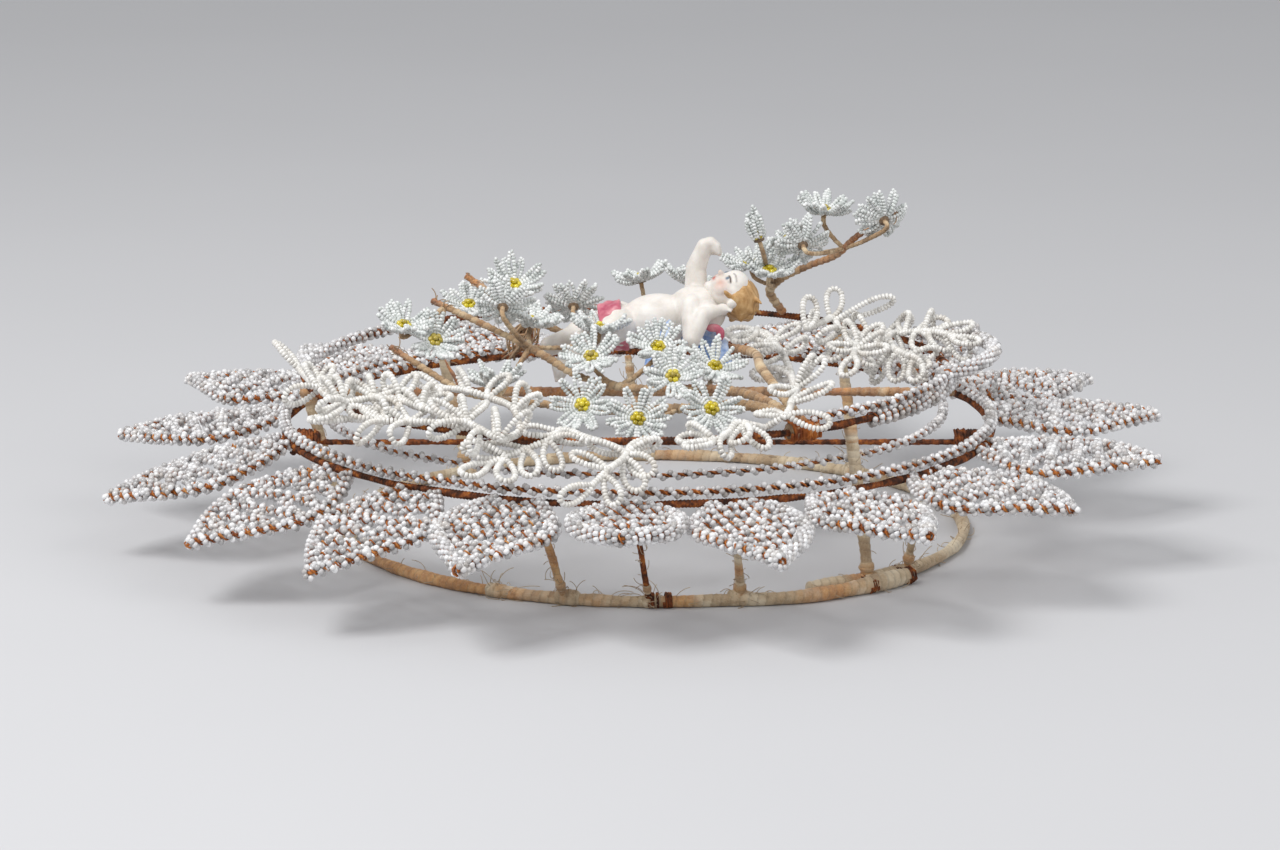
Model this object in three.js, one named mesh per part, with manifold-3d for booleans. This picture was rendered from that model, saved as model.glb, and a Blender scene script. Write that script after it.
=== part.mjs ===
// Funeral wreath of bead work: a wrapped wire stand of three hoops on legs, a rim of eighteen beaded
// leaves, and a bouquet of bead daisies, bead loop sprays and a small bisque cherub with wings.
// Millimetres, +Z up. The origin is on the surface that the wreath stands on, under the lower ring's centre.
import * as THREE from 'three';
import { mergeVertices } from 'three/addons/utils/BufferGeometryUtils.js';
import Module from 'manifold-3d';

const wasm = await Module();
wasm.setup();

// Driving dimensions
const clearance = 0.3; // gap that each piece keeps to the pieces made before it
const weldShare = 0.0001; // of the clearance: corners nearer than this are one corner

const baseHoop = { radius: 130, thick: 6, flat: 0.5, shift: 7, lapStart: -62, lapTurn: 20 };
const lowerRing = { radius: 148, thick: 4.5, height: 46, shift: 0 };
const upperRing = { radius: 135, thick: 4.5, height: 68.5, shift: -4.5 };
const legThick = 5;
const strutThick = 3.6;
const legTurns = [-49, 47, 129, -172];
const strutTurns = [-106, -91, -75, -39, 92];
const edging = { thick: 4.6, strandThick: 3.4, lay: 30, twistSides: 3 };
const upperEdgingTurns = [-58, -12];
const crossWire = { thick: 2.6, offset: 20 };
const crossBar = { thick: 4, offset: 22 };
const binding = { length: 12, thick: 9, ribDepth: 0.8, ribs: 2 };
const bundle = { length: 16, thick: 11, turn: -59 };

const leaf = { reach: 77, half: 33, rootHalf: 8, thick: 3.4, band: 6.2, bar: 2.6, camber: 3 };
const ringSteps = 40; // straight runs in one turn of a ring
const hoopSteps = 48;
const rodSides = 6;
const leafRows = 9;
const leafWidestShare = 0.44; // of its reach, where a leaf is widest
const leafTipPower = 1.1; // 1 for a straight taper to the tip, more for a rounder one
const leafSideShare = 0.96; // of its half of the gap between neighbours that a leaf may fill
const netShares = [0.1, 0.28, 0.46, 0.62, 0.76, 0.88]; // where the netting meets the band, of the reach

const bouquet = { height: 70 };
const branchThick = 3.6;
const branchSteps = 14;
const branchSides = 5;
const twigThick = 1.9;
const daisy = { radius: 13, thick: 1.6, cup: 4, notchShare: 0.74, petals: 8, eye: 2.9, stemRows: 4 };
const loop = { length: 16.5, width: 10, thick: 2, stem: 3, pitch: 15.5, lift: 0.25 };
const loopSlant = 54; // degrees between a frond's stem and the loops beside it
const loopCorners = 7;
const loopHoleCorners = 5;
const loopStemSides = 5;
const figure = { length: 97 };
const wing = { length: 30, width: 15, thick: 2.2 };

// Each leaf: turn about the wreath and pitch of its tip in degrees, then its reach as a share
const leafPoses = [
  [7, -2, 1], [-19, 0, 1], [-40, -3, 1], [-60, -2, 1], [-76, -5, 1], [-91.5, 0, 0.78],
  [-108, -8, 1], [-125, -15, 1], [-144, -16, 1], [-167, -16, 1.06], [-186, -8, 1], [-207, -2, 1],
  [-227, -2, 1], [-248, 0, 1], [-269, 0, 0.97], [-291, 0, 1], [-313, 6, 1], [-333, -2, 1],
];

const flatHalf = (thick) => (thick / 2) * Math.cos(Math.PI / rodSides); // from a rod's axis to its flats
const ringHeight = (ring) => ring.height ?? flatHalf(ring.thick) - ring.flat;

// A place on a ring's centre line at a turn in degrees
function ringSpot(ring, turn) {
  const angle = THREE.MathUtils.degToRad(turn);
  const x = ring.shift + ring.radius * Math.cos(angle);
  return new THREE.Vector3(x, ring.radius * Math.sin(angle), ringHeight(ring));
}

// A place in the bouquet, in shares of the upper ring's radius and of the bouquet's height above the ring
function spot([across, deep, high]) {
  const x = upperRing.shift + across * upperRing.radius;
  return new THREE.Vector3(x, deep * upperRing.radius, upperRing.height + high * bouquet.height);
}

// Closed geometry to solid and back
function toSolid(geometry) {
  const bare = geometry.clone();
  bare.deleteAttribute('normal');
  bare.deleteAttribute('uv');
  const merged = mergeVertices(bare, clearance * weldShare);
  const solid = new wasm.Manifold(new wasm.Mesh({
    numProp: 3,
    vertProperties: new Float32Array(merged.attributes.position.array),
    triVerts: new Uint32Array(merged.index.array),
  }));
  return solid;
}

function toGeometry(solid) {
  const mesh = solid.getMesh();
  const geometry = new THREE.BufferGeometry();
  geometry.setAttribute('position', new THREE.BufferAttribute(mesh.vertProperties, mesh.numProp));
  geometry.setIndex(new THREE.BufferAttribute(mesh.triVerts, 1));
  geometry.computeVertexNormals();
  return geometry;
}

const join = (solids) => solids.reduce((whole, next) => whole.add(next));

// A regular outline of the given radius, for a rod's section
function sectionShape(radius, sides) {
  const corner = (i) => {
    const angle = (2 * Math.PI * (i + 0.5)) / sides;
    return new THREE.Vector2(radius * Math.cos(angle), radius * Math.sin(angle));
  };
  return new THREE.Shape(Array.from({ length: sides }, (_, i) => corner(i)));
}

// A rod of even thickness along a curve
function rod(curve, thick, steps, sides = rodSides) {
  const section = sectionShape(thick / 2, sides);
  return toSolid(new THREE.ExtrudeGeometry(section, { steps, extrudePath: curve, bevelEnabled: false }));
}

const straightRod = (from, to, thick) => rod(new THREE.LineCurve3(from, to), thick, 1);
const smooth = (points) => new THREE.CatmullRomCurve3(points, false, 'centripetal');

// A ring laid flat at its height
function ringSolid(ring, extra) {
  const torus = new THREE.TorusGeometry(ring.radius, ring.thick / 2 + extra, rodSides, ringSteps);
  torus.translate(ring.shift, 0, ringHeight(ring));
  return toSolid(torus);
}

// A beaded strand: a section of few sides that turns once in each lay along an arc or a whole ring
function strandSolid(ring, thick, turns, lay, sides) {
  const closed = turns === null;
  const [from, to] = closed ? [0, 360] : turns;
  const length = THREE.MathUtils.degToRad(to - from) * ring.radius;
  const windings = Math.max(1, Math.round(length / lay));
  const steps = windings * 2;
  const rows = closed ? steps : steps + 1;
  const positions = [];
  for (let row = 0; row < rows; row += 1) {
    const angle = THREE.MathUtils.degToRad(from + ((to - from) * row) / steps);
    for (let side = 0; side < sides; side += 1) {
      const around = 2 * Math.PI * (side / sides + (row * windings) / steps / sides);
      const out = ring.radius + (thick / 2) * Math.cos(around);
      const high = ring.height + (thick / 2) * Math.sin(around);
      positions.push(ring.shift + out * Math.cos(angle), out * Math.sin(angle), high);
    }
  }
  const index = [];
  const corner = (row, side) => (row % rows) * sides + (side % sides);
  const carry = closed ? windings % sides : 0;
  for (let row = 0; row < steps; row += 1) {
    const last = closed && row === steps - 1 ? carry : 0;
    for (let side = 0; side < sides; side += 1) {
      const [a, b] = [corner(row, side), corner(row, side + 1)];
      const [c, d] = [corner(row + 1, side + last), corner(row + 1, side + 1 + last)];
      index.push(a, c, b, b, c, d);
    }
  }
  for (let side = 1; !closed && side < sides - 1; side += 1) {
    index.push(corner(0, 0), corner(0, side), corner(0, side + 1));
    index.push(corner(steps, 0), corner(steps, side + 1), corner(steps, side));
  }
  const geometry = new THREE.BufferGeometry();
  geometry.setAttribute('position', new THREE.Float32BufferAttribute(positions, 3));
  geometry.setIndex(index);
  return toSolid(geometry);
}

// The base hoop's rod: once round, its end lapping outside its start
class LappedHoop extends THREE.Curve {
  constructor(hoop) {
    super();
    this.hoop = hoop;
  }

  getPoint(t) {
    const { radius, thick, lapStart, lapTurn } = this.hoop;
    const turn = 360 + lapTurn;
    const lapShare = (turn * t - (360 - lapTurn)) / lapTurn;
    const out = (thick + 2 * clearance) * THREE.MathUtils.smoothstep(lapShare, 0, 1);
    return ringSpot({ ...this.hoop, radius: radius + out }, lapStart + turn * t);
  }
}

function baseHoopSolid(extra) {
  const whole = rod(new LappedHoop(baseHoop), baseHoop.thick + 2 * extra, hoopSteps);
  if (extra > 0) return whole;
  const floorSize = 4 * baseHoop.radius;
  const floor = new THREE.BoxGeometry(floorSize, floorSize, baseHoop.thick);
  floor.translate(0, 0, -baseHoop.thick / 2);
  return whole.subtract(toSolid(floor));
}

// A tie of wound wire round a rod: a ribbed sleeve with a bore
function bindingSolid(centre, direction, bore, size, extra) {
  const rows = 2 * size.ribs;
  const points = [];
  for (let row = 0; row <= rows; row += 1) {
    const radius = size.thick / 2 - (row % 2 ? 0 : binding.ribDepth) + extra;
    points.push(new THREE.Vector2(radius, (row / rows - 0.5) * (size.length + 2 * extra)));
  }
  points.push(new THREE.Vector2(bore / 2, (size.length + 2 * extra) / 2));
  points.push(new THREE.Vector2(bore / 2, -(size.length + 2 * extra) / 2));
  points.push(points[0].clone());
  const sleeve = new THREE.LatheGeometry(points, rodSides);
  const upright = new THREE.Vector3(0, 1, 0);
  sleeve.applyQuaternion(new THREE.Quaternion().setFromUnitVectors(upright, direction.clone().normalize()));
  sleeve.translate(centre.x, centre.y, centre.z);
  return toSolid(sleeve);
}

// Half the width of a leaf at a share of its reach: rising from the root, then drawn to a point
function leafHalfAt(share, half) {
  if (share < leafWidestShare) {
    const rise = Math.sin((Math.PI / 2) * (share / leafWidestShare));
    return leaf.rootHalf + (half - leaf.rootHalf) * rise;
  }
  const beyond = (share - leafWidestShare) / (1 - leafWidestShare);
  return half * (1 - beyond ** leafTipPower);
}

// The three corners of an opening, each side moved inwards by half a netting bar
function insetTriangle(corners, inset) {
  const centre = new THREE.Vector2();
  for (const corner of corners) centre.add(corner);
  centre.divideScalar(corners.length);
  return corners.map((corner, i) => {
    const before = corners[(i + 2) % 3].clone().sub(corner).normalize();
    const after = corners[(i + 1) % 3].clone().sub(corner).normalize();
    const half = Math.acos(THREE.MathUtils.clamp(before.dot(after), -1, 1)) / 2;
    const bisector = before.add(after).normalize();
    return corner.clone().addScaledVector(bisector, inset / Math.sin(half));
  });
}

// One leaf: a beaded band round netting, bent a little along its middle, laid out along +X
function leafSolid([turn, pitch, reachShare], half, extra) {
  const reach = leaf.reach * reachShare;
  const side = [];
  for (let row = 0; row <= leafRows; row += 1) {
    const share = row / leafRows;
    side.push(new THREE.Vector2(share * reach, leafHalfAt(share, half) + extra));
  }
  const mirror = side.map((point) => new THREE.Vector2(point.x, -point.y));
  const outline = new THREE.Shape([...mirror, ...side.reverse()].filter((point, i, all) => {
    return i === 0 || point.distanceTo(all[i - 1]) > clearance * weldShare;
  }));
  if (extra === 0) {
    const meet = netShares.map((share, i) => {
      const inner = Math.max(leafHalfAt(share, half) - leaf.band, leaf.bar / 2);
      return new THREE.Vector2(share * reach, i % 2 ? inner : -inner);
    });
    for (let i = 0; i + 2 < meet.length; i += 1) {
      outline.holes.push(new THREE.Path(insetTriangle(meet.slice(i, i + 3), leaf.bar / 2)));
    }
  }
  const thick = leaf.thick + 2 * extra;
  const plate = new THREE.ExtrudeGeometry(outline, { depth: thick, bevelEnabled: false, steps: 1 });
  plate.translate(0, 0, -thick / 2);
  const places = plate.attributes.position;
  for (let i = 0; i < places.count; i += 1) {
    const [x, y] = [places.getX(i), places.getY(i)];
    const drop = leaf.camber * ((y / leaf.half) ** 2 - (1 - (x / reach)) * (x / reach));
    places.setZ(i, places.getZ(i) - drop);
  }
  plate.rotateY(-THREE.MathUtils.degToRad(pitch));
  plate.translate(lowerRing.radius, 0, 0);
  plate.rotateZ(THREE.MathUtils.degToRad(turn));
  plate.translate(lowerRing.shift, 0, lowerRing.height);
  return toSolid(plate);
}

// The widest that each leaf may be beside its two neighbours
function leafHalf(i) {
  const turn = (k) => leafPoses[(k + leafPoses.length) % leafPoses.length][0];
  const gap = (a, b) => (((a - b) % 360) + 360) % 360;
  const least = Math.min(gap(turn(i - 1), turn(i)), gap(turn(i), turn(i + 1)));
  const widestAt = lowerRing.radius + leafWidestShare * leaf.reach * leafPoses[i][2];
  const room = widestAt * Math.tan(THREE.MathUtils.degToRad(least / 2)) * leafSideShare - clearance;
  return Math.min(leaf.half, room);
}

// Turns a shape made in the XY plane so that its X runs along one direction and it faces another
function facing(geometry, origin, along, towards) {
  const x = along.clone().normalize();
  const y = towards.clone().cross(x).normalize();
  const z = x.clone().cross(y);
  geometry.applyMatrix4(new THREE.Matrix4().makeBasis(x, y, z).setPosition(origin));
  return geometry;
}

// A stem leaves what carries it square, so that it is one with the knot: the first place on its way out
function squareOut({ point, along }, target, reach) {
  const out = target.clone().sub(point);
  out.addScaledVector(along, -out.dot(along)).normalize();
  return point.clone().addScaledVector(out, reach);
}

// A knot of wire round what carries a twig or a stem, where its stems start together
function knotSolid(centre, carrierThick, stemThick, extra) {
  const knot = new THREE.SphereGeometry(carrierThick / 2 + stemThick + extra, rodSides, rodSides / 2);
  return toSolid(knot.translate(centre.x, centre.y, centre.z));
}

// One daisy on its stem, as one surface: the stem's four edges run up the curve, open out into the
// underside of a cupped rosette of petals, and the rosette closes over a domed eye
function daisyGeometry(curve, face, extra) {
  const count = 2 * daisy.petals;
  const half = daisy.thick / 2 + extra;
  const radius = twigThick / 2 + extra;
  const positions = [];
  const index = [];
  const put = (point) => positions.push(point.x, point.y, point.z) / 3 - 1;
  const centre = curve.getPoint(1);
  const x = new THREE.Vector3(0, 1, 0).cross(face).normalize();
  const y = face.clone().cross(x);
  const onCircle = (reach, share, high) => {
    const angle = 2 * Math.PI * share;
    const point = centre.clone().addScaledVector(x, reach * Math.cos(angle));
    return put(point.addScaledVector(y, reach * Math.sin(angle)).addScaledVector(face, high));
  };
  const ringOf = (size, place) => Array.from({ length: size }, (_, i) => place(i / size));

  // The stem, from the rosette down to its root, each section turned from the one above
  let ring = ringOf(4, (share) => onCircle(radius, share, -half));
  const neck = ring;
  const edge = x.clone();
  for (let row = daisy.stemRows - 1; row >= 0; row -= 1) {
    const share = row / daisy.stemRows;
    const along = curve.getTangent(share);
    const point = curve.getPoint(share);
    edge.addScaledVector(along, -edge.dot(along)).normalize();
    const side = along.clone().cross(edge);
    const below = ringOf(4, (turn) => {
      const angle = 2 * Math.PI * turn;
      const out = edge.clone().multiplyScalar(Math.cos(angle)).addScaledVector(side, Math.sin(angle));
      return put(point.clone().addScaledVector(out, radius));
    });
    for (let i = 0; i < 4; i += 1) {
      const k = (i + 1) % 4;
      index.push(below[i], below[k], ring[i], ring[i], below[k], ring[k]);
    }
    ring = below;
  }
  index.push(ring[0], ring[2], ring[1], ring[0], ring[3], ring[2]);

  // The petals' edge, high and low, then the eye
  const reachAt = (i) => (daisy.radius + extra) * (i % 2 ? daisy.notchShare : 1);
  const cupAt = (i) => daisy.cup * (i % 2 ? daisy.notchShare : 1);
  const edgeRing = (high) => ringOf(count, (share) => {
    const i = Math.round(share * count);
    return onCircle(reachAt(i), share, cupAt(i) + high);
  });
  const [upper, lower] = [edgeRing(half), edgeRing(-half)];
  const eye = ringOf(daisy.petals, (share) => onCircle(daisy.eye + extra, share, daisy.eye / 2 + half));
  const top = onCircle(0, 0, daisy.eye + half);
  const perNeck = count / 4;
  for (let i = 0; i < count; i += 1) {
    const k = (i + 1) % count;
    const [near, far] = [Math.floor(i / perNeck), Math.floor(k / perNeck)];
    index.push(lower[k], lower[i], neck[near]);
    if (near !== far) index.push(neck[near], neck[far], lower[k]);
    index.push(upper[i], lower[i], upper[k], upper[k], lower[i], lower[k]);
    const [eyeNear, eyeFar] = [Math.floor(i / 2), Math.floor(k / 2) % daisy.petals];
    index.push(upper[i], upper[k], eye[eyeFar]);
    if (eyeNear === eyeFar) continue;
    index.push(upper[i], eye[eyeFar], eye[eyeNear], top, eye[eyeNear], eye[eyeFar]);
  }
  const geometry = new THREE.BufferGeometry();
  geometry.setAttribute('position', new THREE.Float32BufferAttribute(positions, 3));
  geometry.setIndex(index);
  return geometry;
}

// A twig of daisies: a stem from the branch to each flower, all from one knot
function daisySolid({ root, flowers }, extra) {
  const from = root();
  const solids = [knotSolid(from.point, branchThick, twigThick, extra)];
  for (const [place, lean, via] of flowers) {
    const centre = spot(place);
    const face = new THREE.Vector3(...lean).normalize();
    const heel = centre.clone().addScaledVector(face, -daisy.radius / 3);
    const way = via ? [spot(via), heel, centre] : [heel, centre];
    const start = squareOut(from, way[0], branchThick / 2 + twigThick);
    solids.push(toSolid(daisyGeometry(smooth([from.point, start, ...way]), face, extra)));
  }
  return join(solids);
}

// One bead loop: an oval band that starts in a point at its root, lies along one direction and faces another
function loopSolid(root, along, towards, extra) {
  const oval = (grow, corners) => Array.from({ length: corners }, (_, i) => {
    const angle = Math.PI * (1 + (2 * i) / corners);
    const [long, wide] = [loop.length / 2 + grow, loop.width / 2 + grow];
    return new THREE.Vector2(long * Math.cos(angle), wide * Math.sin(angle));
  });
  const outline = new THREE.Shape(oval(extra, loopCorners));
  if (extra === 0) outline.holes.push(new THREE.Path(oval(-loop.thick, loopHoleCorners)));
  const thick = loop.thick + 2 * extra;
  const plate = new THREE.ExtrudeGeometry(outline, { depth: thick, bevelEnabled: false, steps: 1 });
  plate.translate(loop.length / 2, 0, -thick / 2);
  return toSolid(facing(plate, root, along, towards));
}

// A frond: loops that leave a stem at a slant to both sides, lifted a little, and one more at its end
function frondSolids(curve, face, extra) {
  const length = curve.getLength();
  const towards = new THREE.Vector3(...face).normalize();
  const slant = THREE.MathUtils.degToRad(loopSlant);
  const solids = [rod(curve, loop.stem + 2 * extra, Math.round(length / loop.pitch) + 1, loopStemSides)];
  const addLoop = (u, forward, sideways) => {
    const root = curve.getPointAt(u / length);
    const along = curve.getTangentAt(u / length);
    const across = towards.clone().cross(along).normalize();
    const up = along.clone().cross(across);
    const way = along.multiplyScalar(forward).addScaledVector(across, sideways);
    way.addScaledVector(up, loop.lift * Math.abs(sideways));
    solids.push(loopSolid(root, way, up, extra));
  };
  for (const sign of [1, -1]) {
    const first = loop.length + (sign > 0 ? 0 : loop.pitch / 2);
    for (let u = first; u < length - loop.pitch / 2; u += loop.pitch) {
      addLoop(u, Math.cos(slant), sign * Math.sin(slant));
    }
  }
  addLoop(length - loop.stem, 1, 0);
  return solids;
}

// A spray: its fronds from one knot on the wire work
function spraySolid({ root, stems }, extra) {
  const from = root();
  const solids = [knotSolid(from.point, upperRing.thick, loop.stem, extra)];
  for (const { path, face } of stems) {
    const places = path.map(spot);
    const start = squareOut(from, places[0], upperRing.thick / 2 + loop.stem);
    solids.push(...frondSolids(smooth([from.point, start, ...places]), face, extra));
  }
  return join(solids);
}

// The bouquet's branches, from the bundle on the upper ring, or from the ring's back
const bundleSpot = () => {
  const on = ringSpot(upperRing, bundle.turn);
  on.z += upperRing.thick / 2;
  return on;
};
const branchShares = {
  branch_low: [[0.36, -0.77, 0.1], [0.17, -0.74, 0.08], [-0.08, -0.69, 0.06], [-0.3, -0.62, 0.07],
    [-0.49, -0.59, 0.12], [-0.6, -0.55, 0.22], [-0.71, -0.49, 0.33]],
  branch_middle: [[0.34, -0.62, 0.12], [0.22, -0.56, 0.12], [0.01, -0.49, 0.09], [-0.15, -0.41, 0.14],
    [-0.25, -0.34, 0.22], [-0.39, -0.27, 0.33], [-0.6, -0.15, 0.48]],
  branch_high: [[0.4, -0.5, 0.2], [0.37, -0.22, 0.2], [0.22, -0.1, 0.19], [0.07, -0.08, 0.21],
    [-0.12, -0.07, 0.2], [-0.24, -0.04, 0.28], [-0.4, 0, 0.44], [-0.5, 0.03, 0.57]],
};
const branchCurves = {};
for (const [name, path] of Object.entries(branchShares)) {
  branchCurves[name] = smooth([bundleSpot(), ...path.map(spot)]);
}
const backBranchTurn = 59.5;
branchCurves.branch_back = smooth([ringSpot(upperRing, backBranchTurn), ...[
  [0.46, 0.82, 0.18], [0.49, 0.77, 0.27], [0.58, 0.73, 0.36], [0.67, 0.69, 0.45],
  [0.75, 0.64, 0.6], [0.83, 0.61, 0.68], [0.86, 0.59, 0.75],
].map(spot)]);
const onCurve = (curve, share) => ({ point: curve.getPointAt(share), along: curve.getTangentAt(share) });
const onBranch = (name, share) => () => onCurve(branchCurves[name], share);

// Daisies: their twig's root, then each flower's place and the way it faces
const daisyTwigs = [
  { root: onBranch('branch_middle', 0.97), flowers: [
    [[-0.58, -0.3, 0.28], [0.1, -0.75, 0.65]], [[-0.72, -0.3, 0.4], [-0.6, -0.4, 0.7]]] },
  { root: onBranch('branch_high', 0.93), flowers: [
    [[-0.52, 0.1, 0.41], [-0.3, 0.6, 0.7]], [[-0.35, 0.06, 0.55], [0.15, 0.35, 0.9]]] },
  { root: onBranch('branch_middle', 0.74), flowers: [
    [[-0.41, -0.38, 0.46], [0.1, -0.2, 0.95]], [[-0.25, -0.2, 0.4], [0.3, -0.4, 0.85]],
    [[-0.4, -0.5, 0.12], [-0.2, -0.6, 0.7]], [[-0.08, -0.22, 0.36], [0.2, -0.4, 0.85]]] },
  { root: onBranch('branch_high', 0.62), flowers: [
    [[-0.17, 0.08, 0.42], [-0.2, 0.3, 0.9]],
    [[0.04, 0.3, 0.46], [-0.2, 0.1, 0.95], [-0.1, 0.22, 0.3]],
    [[0.2, 0.22, 0.47], [0.3, 0.1, 0.9], [0.05, 0.2, 0.25]]] },
  { root: onBranch('branch_middle', 0.5), flowers: [
    [[-0.11, -0.44, 0.26], [-0.1, -0.6, 0.75]], [[0.09, -0.4, 0.31], [0.1, -0.6, 0.75]]] },
  { root: onBranch('branch_middle', 0.3), flowers: [
    [[0.13, -0.58, 0.2], [0, -0.75, 0.65]], [[0.28, -0.45, 0.23], [0.3, -0.65, 0.7]]] },
  { root: onBranch('branch_low', 0.3), flowers: [
    [[-0.13, -0.77, 0.12], [-0.1, -0.85, 0.5]], [[0.03, -0.86, 0.08], [0.05, -0.85, 0.5]],
    [[0.25, -0.82, 0.11], [0.15, -0.8, 0.55]]] },
  { root: onBranch('branch_back', 0.22), flowers: [
    [[0.36, 0.7, 0.41], [-0.35, -0.3, 0.9]], [[0.48, 0.6, 0.39], [0.1, -0.35, 0.9]],
    [[0.42, 0.55, 0.66], [-0.3, -0.1, 0.9]]] },
  { root: onBranch('branch_back', 0.66), flowers: [
    [[0.56, 0.56, 0.62], [-0.2, -0.1, 0.95]], [[0.52, 0.78, 0.5], [-0.6, 0.1, 0.7]],
    [[0.63, 0.66, 0.79], [0.1, -0.2, 0.95]], [[0.83, 0.56, 0.76], [0.2, 0.5, 0.8]]] },
];

// Sprays of bead loops: their root on the wire work, then each stem's path
const onUpperRing = (turn) => () => {
  const point = ringSpot(upperRing, turn);
  return { point, along: ringSpot(upperRing, turn + 1).sub(point).normalize() };
};
const onCrossBar = (acrossShare) => () => onCurve(new THREE.LineCurve3(...crossBarEnds()), acrossShare);
const sprays = [
  { root: onUpperRing(-118), stems: [
    { path: [[-0.6, -0.86, 0.13], [-0.78, -0.72, 0.14], [-0.93, -0.58, 0.2], [-1.0, -0.5, 0.27]],
      face: [-0.2, -0.7, 0.7] },
    { path: [[-0.58, -0.93, 0.06], [-0.72, -0.93, 0.02], [-0.86, -0.86, 0.03]], face: [-0.1, -0.7, 0.7] }] },
  { root: onUpperRing(-97), stems: [
    { path: [[-0.2, -1.09, 0.04], [-0.34, -1.12, -0.04], [-0.42, -1.12, -0.08]], face: [0, -0.8, 0.6] },
    { path: [[-0.08, -1.13, 0.01], [-0.04, -1.2, -0.08]], face: [0, -0.85, 0.5] }] },
  { root: onUpperRing(-108), stems: [
    { path: [[-0.33, -0.84, 0.13], [-0.46, -0.74, 0.18], [-0.6, -0.66, 0.16]], face: [0, -0.7, 0.7] }] },
  { root: onUpperRing(-66), stems: [
    { path: [[0.3, -0.98, 0.09], [0.16, -1.0, 0.06]], face: [0, -0.8, 0.6] },
    { path: [[0.47, -0.96, 0.15], [0.56, -0.88, 0.17]], face: [0, -0.7, 0.7] }] },
  { root: onCrossBar(0.76), stems: [
    { path: [[0.5, 0.06, 0.02], [0.46, 0.28, 0.07], [0.4, 0.44, 0.12]], face: [0, -0.5, 0.86] }] },
  { root: onUpperRing(36), stems: [
    { path: [[0.72, 0.6, 0.11], [0.62, 0.62, 0.14]], face: [0.1, -0.8, 0.5] },
    { path: [[0.93, 0.53, 0.11], [1.03, 0.42, 0.12], [1.07, 0.24, 0.08]], face: [-0.1, -0.6, 0.75] }] },
];

// The cherub lies on its back on the high branch, its head to +X and its face up: places and radii are
// shares of its length from the middle of its chest
const figurePlace = [0.19, -0.11, 0.43];
const headShares = { place: [0.185, 0, 0.05], halves: [0.112, 0.108, 0.116] };
const torsoShares = [[0.17, 0], [0.15, 0.05], [0.1, 0.07], [0.05, 0.1], [-0.05, 0.106], [-0.15, 0.094],
  [-0.2, 0.098], [-0.21, 0.116], [-0.28, 0.112], [-0.29, 0.098], [-0.35, 0.07], [-0.37, 0]];
const torsoSlopeShare = 0.15; // how far the body sinks towards the feet
const torsoFlatShare = 0.88; // depth of the body beside its width
const figureSides = 9;
const headRows = 7;
const figureLimbs = [
  { joints: [[0.02, 0.07, 0.04], [0.04, 0.1, 0.19], [0.1, 0.09, 0.28]], radii: [0.044, 0.038, 0.032] },
  { joints: [[0.01, -0.08, 0.02], [0.01, -0.17, -0.11], [0.06, -0.14, -0.01], [0.12, -0.1, 0]],
    radii: [0.046, 0.038, 0.032, 0.026] },
  { joints: [[-0.3, 0.04, -0.05], [-0.55, 0.04, -0.17], [-0.66, 0.05, -0.23]], radii: [0.07, 0.052, 0.04] },
  { joints: [[-0.3, -0.05, -0.06], [-0.53, -0.1, -0.21], [-0.62, -0.13, -0.26]],
    radii: [0.07, 0.052, 0.04] },
];

function figureSolid(extra) {
  const chest = spot(figurePlace);
  const size = figure.length;
  const at = (shares) => new THREE.Vector3(...shares).multiplyScalar(size).add(chest);
  const head = new THREE.SphereGeometry(1, figureSides, headRows);
  head.scale(...headShares.halves.map((half) => half * size + extra));
  const profile = torsoShares.map(([along, radius], i) => {
    const end = i === 0 || i === torsoShares.length - 1;
    return new THREE.Vector2(end ? 0 : radius * size + extra, -along * size);
  });
  const torso = new THREE.LatheGeometry(profile, figureSides);
  torso.rotateZ(Math.PI / 2);
  const places = torso.attributes.position;
  for (let i = 0; i < places.count; i += 1) {
    const sink = torsoSlopeShare * Math.min(places.getX(i), 0);
    places.setZ(i, places.getZ(i) * torsoFlatShare + sink);
  }
  const solids = [toSolid(head.translate(...at(headShares.place))), toSolid(torso.translate(...chest))];
  for (const { joints, radii } of figureLimbs) {
    for (let i = 0; i + 1 < joints.length; i += 1) {
      const [near, far] = [radii[i], radii[i + 1]].map((radius) => radius * size + extra);
      solids.push(limbSolid(at(joints[i]), at(joints[i + 1]), near, far));
    }
  }
  return join(solids);
}

// A tapering limb with round ends
function limbSolid(from, to, fromRadius, toRadius) {
  const length = from.distanceTo(to);
  const profile = [];
  for (const [centre, radius, turns] of [[0, fromRadius, [-90, -30]], [length, toRadius, [30, 90]]]) {
    for (const turn of turns) {
      const angle = THREE.MathUtils.degToRad(turn);
      profile.push(new THREE.Vector2(radius * Math.cos(angle), centre + radius * Math.sin(angle)));
    }
  }
  profile[0].x = 0;
  profile[profile.length - 1].x = 0;
  const limb = new THREE.LatheGeometry(profile, rodSides);
  const direction = to.clone().sub(from).normalize();
  limb.applyQuaternion(new THREE.Quaternion().setFromUnitVectors(new THREE.Vector3(0, 1, 0), direction));
  return toSolid(limb.translate(from.x, from.y, from.z));
}

// A wing: a thin plate with three rows of feather tips along its outer edge, root at its own origin
const wingPoses = {
  wing_right: { root: [-0.04, -0.02, -0.06], tip: [0.15, -0.14, -0.21], face: [-0.3, -0.8, 0.5] },
  wing_left: { root: [-0.1, -0.05, -0.06], tip: [-0.2, -0.33, -0.26], face: [-0.75, -0.5, 0.45] },
};
const wingEdgeShares = [[0, -0.16], [0.3, -0.36], [0.42, -0.3], [0.58, -0.5], [0.7, -0.4], [0.86, -0.5],
  [0.96, -0.3], [1, 0], [0.94, 0.3], [0.7, 0.48], [0.4, 0.46], [0.15, 0.34], [0, 0.16]];

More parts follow.
